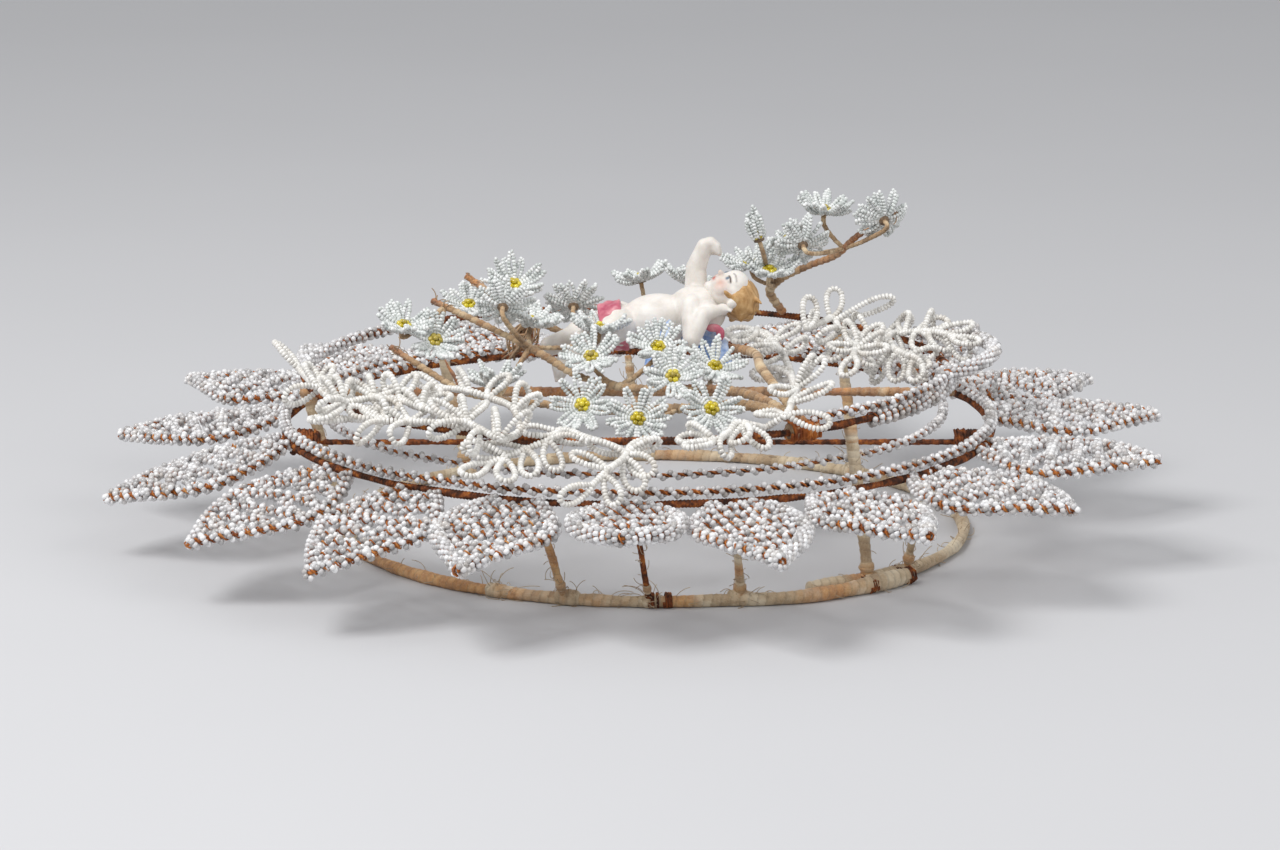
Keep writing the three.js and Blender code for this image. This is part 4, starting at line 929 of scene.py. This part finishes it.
# Each spray: its stems, then its loops. A stem is a row of places seen at a column and a row of the picture,
# with a height; a loop goes from a place on the nearest stem to its tip, and is seen so many pixels wide
sprays = (
    ((((471, 429, 70), (445, 415, 76), (422, 407, 78), (400, 400, 79), (372, 398, 79), (342, 402, 79),
       (318, 388, 81), (298, 368, 85)),
      ((471, 429, 70), (440, 423, 73), (408, 421, 73), (383, 421, 73), (352, 419, 72))),
     ((400, 400, 372, 422, 14), (383, 421, 362, 404, 12), (440, 423, 456, 408, 12), (422, 407, 448, 392, 13),
      (342, 402, 322, 422, 13), (372, 398, 395, 384, 12), (298, 368, 273, 339, 6), (318, 389, 282, 399, 19),
      (352, 419, 307, 419, 7), (383, 421, 345, 406, 13), (383, 421, 355, 441, 15), (408, 421, 392, 444, 20),
      (408, 421, 438, 410, 13), (408, 421, 381, 396, 13), (342, 402, 330, 378, 12), (345, 402, 318, 405, 12),
      (372, 398, 349, 379, 8), (372, 398, 366, 377, 7), (400, 400, 381, 376, 16), (400, 400, 412, 372, 14),
      (422, 407, 432, 385, 14), (422, 407, 400, 392, 12), (318, 388, 306, 362, 9), (318, 388, 330, 364, 12),
      (342, 402, 352, 380, 9), (372, 398, 390, 412, 12), (342, 402, 318, 378, 9))),
    ((((584, 437, 70), (562, 430, 71), (550, 439, 69), (526, 449, 66), (505, 457, 64), (488, 464, 62)),
      ((584, 437, 70), (612, 446, 69), (625, 454, 68), (608, 470, 65), (592, 485, 61))),
     ((560, 428, 519, 431, 14), (505, 457, 458, 445, 20), (524, 449, 481, 446, 11), (488, 464, 462, 476, 17),
      (505, 459, 507, 484, 22), (526, 450, 534, 477, 24), (549, 440, 557, 474, 22), (552, 438, 586, 441, 13),
      (606, 468, 568, 451, 14), (625, 454, 585, 441, 15), (592, 485, 557, 502, 22), (605, 474, 619, 507, 22),
      (627, 458, 641, 494, 24), (625, 454, 655, 475, 24), (625, 454, 662, 440, 16),
      (625, 454, 650, 436, 12))),
    ((((521, 433, 70), (497, 438, 72), (482, 430, 74), (467, 422, 76)),
      ((521, 433, 70), (514, 410, 77), (490, 398, 79), (469, 391, 81), (440, 388, 80))),
     ((490, 398, 505, 372, 14), (482, 430, 470, 452, 14), (514, 410, 541, 396, 14), (467, 422, 427, 434, 17),
      (467, 422, 428, 400, 12), (467, 422, 459, 396, 6), (467, 422, 484, 402, 6), (497, 438, 492, 409, 6),
      (500, 436, 532, 412, 12), (440, 388, 412, 378, 13), (440, 388, 425, 402, 12), (469, 391, 455, 372, 10),
      (514, 410, 527, 383, 18))),
    ((((765, 428, 71), (748, 424, 75), (738, 422, 76), (728, 433, 73), (714, 440, 72), (700, 441, 71)),
      ((765, 428, 71), (785, 415, 77), (792, 400, 80), (797, 388, 82))),
     ((712, 440, 677, 436, 13), (714, 440, 684, 448, 9), (716, 439, 686, 424, 12), (730, 432, 722, 458, 18),
      (742, 423, 768, 450, 18), (745, 424, 735, 446, 16), (787, 415, 834, 424, 18), (797, 404, 836, 382, 7),
      (785, 415, 757, 411, 8), (798, 388, 827, 356, 12), (798, 388, 815, 352, 10), (797, 390, 769, 393, 13))),
    ((((795, 391, 66), (788, 365, 70), (774, 343, 73), (757, 330, 76)),),
     ((784, 356, 760, 357, 15), (782, 352, 810, 338, 13), (789, 370, 748, 376, 16), (790, 378, 769, 372, 13),
      (774, 341, 748, 330, 14), (762, 333, 725, 330, 13), (757, 330, 735, 343, 10), (776, 346, 740, 352, 7),
      (774, 341, 800, 322, 12))),
    ((((880, 329, 70), (862, 335, 74), (845, 332, 76), (833, 318, 79), (822, 322, 80), (806, 328, 80)),
      ((880, 329, 70), (900, 333, 74), (918, 331, 76), (938, 332, 77), (955, 338, 76)),
      ((880, 329, 72), (890, 342, 73), (900, 352, 73), (915, 358, 72)),
      ((862, 335, 74), (856, 348, 74), (853, 357, 74))),
     ((870, 338, 852, 316, 14), (880, 345, 866, 374, 14), (905, 333, 905, 311, 14), (925, 334, 936, 312, 12),
      (930, 334, 946, 354, 14), (950, 336, 978, 344, 12), (900, 345, 930, 368, 14), (885, 352, 872, 386, 14),
      (910, 350, 940, 352, 13), (848, 338, 828, 364, 14), (905, 360, 926, 380, 13), (858, 345, 846, 320, 12),
      (806, 326, 813, 294, 18), (833, 314, 838, 285, 20), (859, 305, 897, 297, 16), (889, 333, 915, 318, 14),
      (917, 329, 951, 317, 13), (935, 331, 977, 324, 12), (917, 333, 922, 352, 22), (945, 335, 970, 358, 18),
      (852, 357, 845, 378, 18), (895, 355, 894, 384, 20), (915, 362, 915, 383, 18), (895, 335, 895, 352, 16),
      (862, 345, 884, 322, 12), (858, 350, 886, 334, 10), (862, 352, 888, 350, 12), (850, 345, 868, 368, 14),
      (870, 340, 890, 366, 12), (857, 345, 828, 350, 13), (840, 330, 815, 340, 12),
      (821, 340, 812, 314, 12))),
)


def loopPath(base, along, across, long, wide):
    # a drop: out and back along its length, and to each side by a sine that narrows towards the base
    t = np.linspace(0, 2 * np.pi, 40)
    out = (1 - np.cos(t)) / 2
    side = np.sin(t) * np.sqrt(out + 0.02)
    return base + long * out[:, None] * along + wide / 2 * spray["full"] * side[:, None] * across


def loopParts(stemPoints, stemSeen, sizes, seen, chance):
    # what a loop's length lacks in the picture is its depth: to the camera when it hangs, away when it rises
    baseSeen, tipSeen, wideSeen = np.array(seen[:2], float), np.array(seen[2:4], float), seen[4]
    row = np.argmin(np.linalg.norm(stemSeen - baseSeen, axis=1))
    shift = (tipSeen - stemSeen[row]) * sizes[row]
    flat = np.linalg.norm(shift)
    long = max(spray["loopLong"] * chance.uniform(*spray["loopLongs"]), flat)
    depth = math.sqrt(long**2 - flat**2) * (1 if shift[1] > 0 else -1)
    direction = unit(np.array([shift[0], 0, 0]) - shift[1] * viewUp + depth * viewBack)
    long -= spray["bead"][0] / 2
    level = unit(np.cross(viewBack, direction))
    share = min(1, wideSeen * sizes[row] / spray["loopWide"])
    square = share * level + math.sqrt(1 - share**2) * chance.choice([-1, 1]) * np.cross(direction, level)
    wide = spray["stringWide"] * chance.uniform(*spray["stringWides"])
    path = shaken(loopPath(stemPoints[row], direction, square, long, wide), *spray["jitter"], chance)
    return strung(path, spray["bead"], chalkBead, chance)


def addSprays():
    for number, (stems, loops) in enumerate(sprays, 1):
        chance = chanceFor(f"spray{number}")
        paths = [smoothPath([fromView(*place) for place in stem], spray["stemStep"]) for stem in stems]
        parts = [strung(path, spray["stemBead"], chalkBead, chance) for path in paths]
        parts += [tube(path, spray["stemWire"], crepePaper, sides=5) for path in paths]
        allPoints = np.concatenate(paths)
        stemSeen, sizes = toView(allPoints)
        parts += [loopParts(allPoints, stemSeen, sizes, seen, chance) for seen in loops]
        makePiece(f"bead_loops_{number}", parts, "chalk_beads", f"loop_spray_{number}")


addSprays()
print("sprays made")

# Cherub: a bisque figure on its back along the high branch, head to +X and face up. Places and radii are
# shares of its length from the middle of its chest, as in the frame
cherub = {"chest": (21.15, -14.85, 98.6), "length": 97, "headShares": (0.185, 0, 0.05),
          # how each form is melted: into squares of a size, and smoothed so many times
          "body": (0.6, 4), "head": (0.42, 3), "hair": (0.5, 5), "sash": (0.6, 1), "wing": (0.38, 1)}
headAxes = unit(np.array([(0.088, -0.979, -0.141), (0.95, 0.042, 0.2985), (-0.3, -0.1615, 0.9356)]))

# Places and radii in millimetres to the head's left, towards its crown and out of its face
headLumps = (
    ((0, 0.9, -0.8), (9.2, 8.9, 9.8)), ((0, -2.4, 2.6), (8.3, 7.6, 7.4)), ((0, 2.6, 3.4), (7.4, 6.0, 6.4)),
    ((4.3, -3.4, 5.2), (3.9, 3.7, 3.7)), ((-4.3, -3.4, 5.2), (3.9, 3.7, 3.7)),
    ((0, -1.8, 10.4), (1.4, 1.2, 1.8)), ((0, 0.8, 9.3), (0.8, 2.2, 0.9)),
    ((0, -4.8, 9.1), (1.9, 0.6, 1.0)), ((0, -6.0, 8.7), (1.6, 0.65, 1.0)), ((0, -8.2, 6.4), (2.7, 2.0, 2.5)),
    ((9.0, -1.2, -0.6), (1.2, 2.5, 1.9)), ((-9.0, -1.2, -0.6), (1.2, 2.5, 1.9)),
    ((3.7, 0.4, 8.0), (2.1, 1.25, 1.2)), ((-3.7, 0.4, 8.0), (2.1, 1.25, 1.2)),
)

# Curls laid round a cap, one a golden turn after another from the crown down, each a flat stretched ball
hair = {"cap": ((0, 1.9, -2.2), (10.2, 8.7, 9.6)), "curls": 30, "turn": 2.4, "crown": 0.85, "fall": 1.3,
        "brow": 0.6, "sizes": (1.7, 2.2), "inset": 1.3, "curlLong": 2.6, "curlThick": 0.75,
        "flow": (0.3, 1, 0.2), "loose": 0.3}

# What is painted on the head, on both sides: places and spreads in millimetres
paint = {
    "front": 5, "cheeks": ((5.4, -3.4, 7.6), (2.8, 2.4, 4.0)), "nose": ((0, -2.2, 11), (1.6, 1.2, 3)),
    "noseShare": 0.5, "lips": ((0, -5.3, 9.8), (1.5, 0.8, 2.0)), "lipsFull": 1.6,
    "irises": ((3.7, 0.2, 9.2), (0.9, 0.75, 2.5)), "irisFull": 2.4, "softEnd": 0.4, "softSide": 0.25,
    # lid and brow: middle, half the length, how far it bows, half the thickness, strength
    "lines": (((3.8, 1.25), 2.1, 0.14, 0.42, 1), ((3.9, 3.6), 2.4, 0.12, 0.5, 0.55)),
}
bodyLumps = (
    ((0.03, 0, -0.022), (0.13, 0.108, 0.112)), ((-0.13, 0, -0.056), (0.165, 0.106, 0.111)),
    ((-0.3, 0, -0.085), (0.1, 0.102, 0.095)), ((0.065, 0.07, 0.01), (0.05, 0.045, 0.05)),
    ((0.065, -0.07, 0.01), (0.05, 0.045, 0.05)), ((0.088, 0.09, 0.256), (0.028, 0.031, 0.03)),
    ((0.108, 0.092, 0.238), (0.022, 0.034, 0.034)),
    ((0.14, -0.09, 0.005), (0.03, 0.024, 0.026)), ((-0.61, 0.05, -0.195), (0.032, 0.038, 0.044)),
    ((-0.55, -0.125, -0.25), (0.032, 0.034, 0.046)), ((-0.43, 0.045, -0.12), (0.1, 0.064, 0.062)),
    ((-0.41, -0.075, -0.14), (0.095, 0.064, 0.062)),
)

# Each limb: its joints and its radius at each
bodyLimbs = (
    (((0.09, 0, 0.015), (0.17, 0, 0.04)), (0.052, 0.05)),
    (((0.03, 0.06, 0.04), (0.03, 0.09, 0.15), (0.066, 0.088, 0.245)), (0.053, 0.045, 0.035)),
    (((0.01, -0.08, 0.02), (0.01, -0.17, -0.11), (0.06, -0.14, -0.01), (0.12, -0.1, 0)),
     (0.048, 0.04, 0.035, 0.026)),
    (((-0.3, 0.04, -0.06), (-0.5, 0.04, -0.15), (-0.6, 0.05, -0.185)), (0.076, 0.056, 0.042)),
    (((-0.3, -0.05, -0.07), (-0.47, -0.09, -0.185), (-0.545, -0.12, -0.235)), (0.076, 0.056, 0.042)),
    (((0.095, 0.075, 0.268), (0.12, 0.07, 0.248), (0.126, 0.068, 0.218)), (0.014, 0.013, 0.012)),
    (((0.097, 0.088, 0.273), (0.125, 0.086, 0.248), (0.131, 0.086, 0.211)), (0.014, 0.013, 0.012)),
    (((0.095, 0.1, 0.271), (0.122, 0.102, 0.248), (0.127, 0.103, 0.218)), (0.014, 0.013, 0.012)),
    (((0.085, 0.11, 0.263), (0.112, 0.118, 0.248), (0.117, 0.119, 0.226)), (0.013, 0.012, 0.011)),
    (((0.15, -0.1, 0.01), (0.175, -0.108, 0.0)), (0.01, 0.008)),
    (((0.152, -0.088, 0.012), (0.18, -0.09, 0.004)), (0.01, 0.008)),
    (((0.15, -0.075, 0.01), (0.176, -0.072, 0.002)), (0.01, 0.008)),
)

# Toes: the middle one of each foot, how far apart they are, and how far the outer ones lie back
toes = {"feet": (((-0.628, 0.05, -0.22), 0.011), ((-0.565, -0.125, -0.28), 0.01)), "curve": 0.003,
        "radii": (1.1, 0.75, 1.1)}

# The sash: a band round the hips with waves round it, and its loose ends as places and radii in millimetres
sash = {"start": (-0.275, 0, -0.075), "run": (-0.1, 0, -0.02), "reach": 0.108, "taper": 0.012,
        # folds: height, how many round the body, and how far they turn along it
        "folds": ((0.55, 5, 5), (0.35, 11, -9)),
        "ends": (((31, -27.5, 92), (3.4, 1.2, 1.8)), ((34, -27.5, 89.5), (1.8, 1.1, 3.0)),
                 ((-12, -25.5, 88), (2.6, 1.3, 5.0)))}


def ball(centre, radii, axes=np.eye(3)):
    # a closed ball of rows and sides, stretched along three axes
    angle = np.linspace(0.0, np.pi, 14)
    path = np.stack([0 * angle, 0 * angle, -np.cos(angle)], axis=1)
    skin = tube(path, np.sin(angle), None, sides=20)
    return {**skin, "vertices": centre + (skin["vertices"] * radii) @ axes}


def limb(start, end, nearRadius, farRadius):
    # a tapering rod with a half ball at each end
    angle = np.linspace(0, np.pi / 2, 6)
    line = unit(end - start)
    path = np.concatenate([start - line * nearRadius * np.cos(angle)[:, None],
                           end + line * farRadius * np.sin(angle)[:, None]])
    radius = np.concatenate([nearRadius * np.sin(angle), farRadius * np.cos(angle)])
    return tube(path, radius, None, sides=14)


def melted(shapes, voxel, rounds):
    # closed shapes that overlap, melted into one skin of small squares, then smoothed
    starts = np.cumsum([0] + [len(shape["vertices"]) for shape in shapes])
    faces = [face for start, shape in zip(starts, shapes) for rows in shape["faces"]
             for face in (rows + start).tolist()]
    mesh = bpy.data.meshes.new("melt")
    mesh.from_pydata(np.concatenate([shape["vertices"] for shape in shapes]).tolist(), [], faces)
    holder = bpy.data.objects.new("melt", mesh)
    scene.collection.objects.link(holder)
    skin = holder.modifiers.new("skin", "REMESH")
    skin.mode = "VOXEL"
    skin.voxel_size = voxel
    soft = holder.modifiers.new("soft", "SMOOTH")
    soft.iterations = rounds
    made = bpy.data.meshes.new_from_object(holder.evaluated_get(bpy.context.evaluated_depsgraph_get()))
    points = np.empty(len(made.vertices) * 3)
    made.vertices.foreach_get("co", points)
    corners = np.empty(len(made.loops), np.int32)
    made.loops.foreach_get("vertex_index", corners)
    bpy.data.objects.remove(holder)
    bpy.data.meshes.remove(mesh)
    bpy.data.meshes.remove(made)
    return points.reshape(-1, 3), corners.reshape(-1, 4)


def onBody(shares):
    return np.array(cherub["chest"]) + cherub["length"] * np.array(shares, float)


def nearness(points, place, radii):
    # one at a place, fading to nothing over three radii
    return np.exp(-(((points - place) / radii) ** 2).sum(axis=1))


def strokeMask(points, middle, half, bow, thick):
    # a painted line over an eye: high in its middle, lower to both sides by the square of the distance
    side = points[:, 0] - middle[0]
    high = points[:, 1] - (middle[1] - bow * side**2)
    ends = np.clip((half - np.abs(side)) / paint["softEnd"], 0, 1)
    return ends * np.clip((thick - np.abs(high)) / paint["softSide"], 0, 1)


def headPart():
    centre = onBody(cherub["headShares"])
    shapes = [ball(centre + np.array(place) @ headAxes, radii, headAxes) for place, radii in headLumps]
    points, faces = melted(shapes, *cherub["head"])
    seen = (points - centre) @ headAxes.T
    seen[:, 0] = np.abs(seen[:, 0])
    front = seen[:, 2] > paint["front"]
    blush = nearness(seen, *paint["cheeks"]) + paint["noseShare"] * nearness(seen, *paint["nose"])
    lips = paint["lipsFull"] * nearness(seen, *paint["lips"])
    iris = paint["irisFull"] * nearness(seen, *paint["irises"])
    lines = np.maximum(*(strength * strokeMask(seen, *shape) * front for *shape, strength in paint["lines"]))
    return part(points, [faces], paintedBisque, blush=np.clip(blush, 0, 1), lips=np.clip(lips, 0, 1),
                iris=np.clip(iris, 0, 1) * front, lines=lines)


def hairPart():
    centre = onBody(cherub["headShares"])
    chance = chanceFor("hair")
    place, radii = (np.array(row, float) for row in hair["cap"])
    shapes = [ball(centre + place @ headAxes, radii, headAxes)]
    for k in range(hair["curls"]):
        turn = hair["turn"] * k
        up = hair["crown"] - hair["fall"] * (k + 0.5) / hair["curls"]
        level = math.sqrt(max(0, 1 - up**2))
        way = np.array([level * math.cos(turn), up, level * math.sin(turn)])
        if way[2] > hair["brow"]:
            continue
        size = chance.uniform(*hair["sizes"])
        spot = centre + (place + way * (radii - hair["inset"])) @ headAxes
        curl = unit(np.cross(way, hair["flow"]) + hair["loose"] * chance.normal(size=3))
        axes = np.array([curl, np.cross(way, curl), way]) @ headAxes
        shapes.append(ball(spot, (size * hair["curlLong"], size, size * hair["curlThick"]), axes))
    points, faces = melted(shapes, *cherub["hair"])
    return part(points, [faces], mouldedHair)


def bodyPart():
    shapes = [ball(onBody(place), np.array(radii) * cherub["length"]) for place, radii in bodyLumps]
    for joints, radii in bodyLimbs:
        places = [onBody(joint) for joint in joints]
        radii = [radius * cherub["length"] for radius in radii]
        shapes += [limb(*pair) for pair in zip(places, places[1:], radii, radii[1:])]
    for (x, y, z), aside in toes["feet"]:
        places = [onBody((x, y + k * aside, z - toes["curve"] * k * k)) for k in range(-2, 3)]
        shapes += [ball(place, toes["radii"]) for place in places]
    points, faces = melted(shapes, *cherub["body"])
    return part(points, [faces], paintedBisque)


def sashPart():
    share = np.linspace(0, 1, 15)[:, None]
    path = onBody(sash["start"]) + share * cherub["length"] * np.array(sash["run"])
    turn = 2 * np.pi * np.arange(60)[None] / 60
    fold = sum(high * np.sin(count * turn + twist * share) for high, count, twist in sash["folds"])
    reach = cherub["length"] * (sash["reach"] - sash["taper"] * share**2) + fold
    shapes = [tube(path, reach, None, sides=60)]
    shapes += [ball(np.array(middle, float), size) for middle, size in sash["ends"]]
    points, faces = melted(shapes, *cherub["sash"])
    return part(points, [faces], paintedSash)


def addCherub():
    makePiece("bisque_cherub", [headPart(), hairPart(), bodyPart(), sashPart()], "bisque", "cherub")


addCherub()

# Wings: a thin plate with a rolled front edge and three rows of feathers
wing = {
    # each wing's root and tip, and the way its back faces
    "places": {"wing_right": ((-0.04, -0.02, -0.06), (0.15, -0.14, -0.21), (-0.3, -0.8, 0.5)),
               "wing_left": ((-0.1, -0.05, -0.06), (-0.2, -0.33, -0.26), (-0.75, -0.5, 0.45))},
    # in millimetres along the wing, up it and out of it
    "plate": ((14, 0.6, 0), (14.5, 5.6, 0.8)),
    "edge": ((0, 1, 0.2), (10, 5.4, 0.3), (21, 5.6, 0.3), (28.5, 1, 0.1)), "edgeRadii": (1.9, 1.6, 1.2),
    "edgeTaper": 0.85,
    # each row: how many, the first one's root and the step to the next, its tip and step, half width, height
    "rows": ((7, (3, 2.5), (3.1, -0.1), (7.5, -5.6), (3.6, 0.55), 1.75, 0.0),
             (6, (2, 4), (3.2, 0.2), (5.5, -1.6), (3.7, 0.4), 1.6, 0.7),
             (5, (2, 4.6), (3.9, 0.35), (6, 2.2), (4.4, 0.35), 1.4, 1.3)),
    "tipSink": 0.6, "featherOver": 0.6, "featherThick": 0.75, "blueRun": 9,
}


def addWings():
    for node, (root, tip, face) in wing["places"].items():
        start = onBody(root)
        x = unit(onBody(tip) - start)
        y = unit(np.cross(np.array(face, float), x))
        axes = np.array([x, y, np.cross(x, y)])
        middle, radii = wing["plate"]
        shapes = [ball(start + np.array(middle) @ axes, radii, axes)]
        edge = [start + np.array(place) @ axes for place in wing["edge"]]
        shapes += [limb(near, far, thick, thick * wing["edgeTaper"])
                   for near, far, thick in zip(edge, edge[1:], wing["edgeRadii"])]
        for count, heel, heelStep, end, endStep, wide, high in wing["rows"]:
            for k in range(count):
                a = np.array([*(np.array(heel) + k * np.array(heelStep)), high])
                b = np.array([*(np.array(end) + k * np.array(endStep)), high * wing["tipSink"]])
                line = unit(b - a)
                feather = np.array([line, unit(np.cross([0, 0, 1], line)), [0, 0, 1]])
                size = (np.linalg.norm(b - a) / 2 + wing["featherOver"], wide, wing["featherThick"])
                shapes.append(ball(start + (a + b) / 2 @ axes, size, feather @ axes))
        points, faces = melted(shapes, *cherub["wing"])
        low = np.clip(0.5 - (points - start) @ y / wing["blueRun"], 0, 1)
        makePiece("feathered_" + node, [part(points, [faces], brushedBisque, low=low)], "tinted_bisque", node)


addWings()
print("cherub made")

# Small loose things: a bead strand that bulges at the upper ring's right, torn paper, a splinter of rust
loose = {
    "strand": ((127, -30, 73), (141, -14, 74), (149, 6, 75), (148, 28, 75), (137, 48, 74), (120, 57, 73)),
    "strandStep": 1.5, "strandWinding": (2.4, 3.2), "strandWire": 0.7,
    # the places on two branches seen at a column and row, and where the clump and the splinter end from there
    "clumpSeen": (520, 340), "clumpHang": (-8, -6, -15), "clumpLengths": (0.6, 1.1), "clumpShreds": 26,
    "shredBend": (2.5, 2, 1.5), "shredSpread": (2.5, 2, 2), "shredRadii": (0.3, 0.7), "shredStain": 0.8,
    "splinterSeen": (462, 391), "splinterRise": (-7, 0, 13), "splinterRadius": 1.5, "splinterTaper": 0.8,
    "splinterJitter": (0.5, 3),
}


def nearestSeen(path, seen):
    return path[np.argmin(np.linalg.norm(toView(path)[0] - np.array(seen), axis=1))]


def addLoose():
    chance = chanceFor("loose")
    path = smoothPath(loose["strand"], loose["strandStep"])
    strand = wound(path, loose["strandWinding"], edging["bead"], chance)
    strand.append(tube(path, loose["strandWire"], rustedIron, sides=5))
    makePiece("loose_bead_strand", strand, "pearl_beads")
    start = nearestSeen(branchPaths["branch_high"], loose["clumpSeen"])
    t = np.linspace(0, 1, 10)[:, None]
    parts = []
    for _ in range(loose["clumpShreds"]):
        bend = chance.normal(size=3) * loose["shredBend"]
        end = start + np.array(loose["clumpHang"]) * chance.uniform(*loose["clumpLengths"])
        end = end + chance.normal(size=3) * loose["shredSpread"]
        line = start + t * (end - start) + np.sin(np.pi * t) * bend
        radius = chance.uniform(*loose["shredRadii"])
        stain = chance.uniform(0, loose["shredStain"])
        parts.append(tube(line, radius, crepePaper, sides=4, ridge=1.0, stain=stain))
    start = nearestSeen(branchPaths["branch_low"], loose["splinterSeen"])
    line = shaken(start + t * np.array(loose["splinterRise"]), *loose["splinterJitter"], chance)
    radius = loose["splinterRadius"] * (1 - loose["splinterTaper"] * t[:, 0])
    parts.append(tube(line, radius, crepePaper, sides=5, ridge=1.0, stain=1.0))
    makePiece("torn_paper", parts, "paper_tape")


addLoose()
print("loose things made")

# Stage: a plain pale floor and soft light. Each lamp has its place in metres, its size and its power
stage = {"floorSize": 14, "skyColour": "#f2f3f5", "skyStrength": 0.6, "aim": (0, 0, 0.05),
         "lamps": {"keyLamp": ((-0.9, -0.7, 1.6), 0.9, 26), "fillLamp": ((1.3, -0.9, 1.1), 1.2, 9)}}
# matt pale board, a little uneven
paleFloor = mottledLook("paleFloor", ((0.35, "#c9c9cb"), (0.7, "#c7c7c9")),
                        {"Scale": grain(400), "Detail": 3}, Roughness=0.9)


def addStage():
    half = stage["floorSize"] / 2
    mesh = bpy.data.meshes.new("floor")
    corners = [(x * half, y * half, 0) for x, y in ((-1, -1), (1, -1), (1, 1), (-1, 1))]
    mesh.from_pydata(corners, [], [(0, 1, 2, 3)])
    mesh.materials.append(paleFloor)
    floor = bpy.data.objects.new("floor", mesh)
    scene.collection.objects.link(floor)
    world = bpy.data.worlds.new("softSky")
    world.use_nodes = True
    sky = world.node_tree.nodes["Background"]
    sky.inputs["Color"].default_value = linear(stage["skyColour"])
    sky.inputs["Strength"].default_value = stage["skyStrength"]
    scene.world = world
    for name, (place, size, power) in stage["lamps"].items():
        lamp = bpy.data.lights.new(name, "AREA")
        lamp.size = size
        lamp.energy = power
        addAimed(name, lamp, place, stage["aim"])


addStage()
print("stage made")
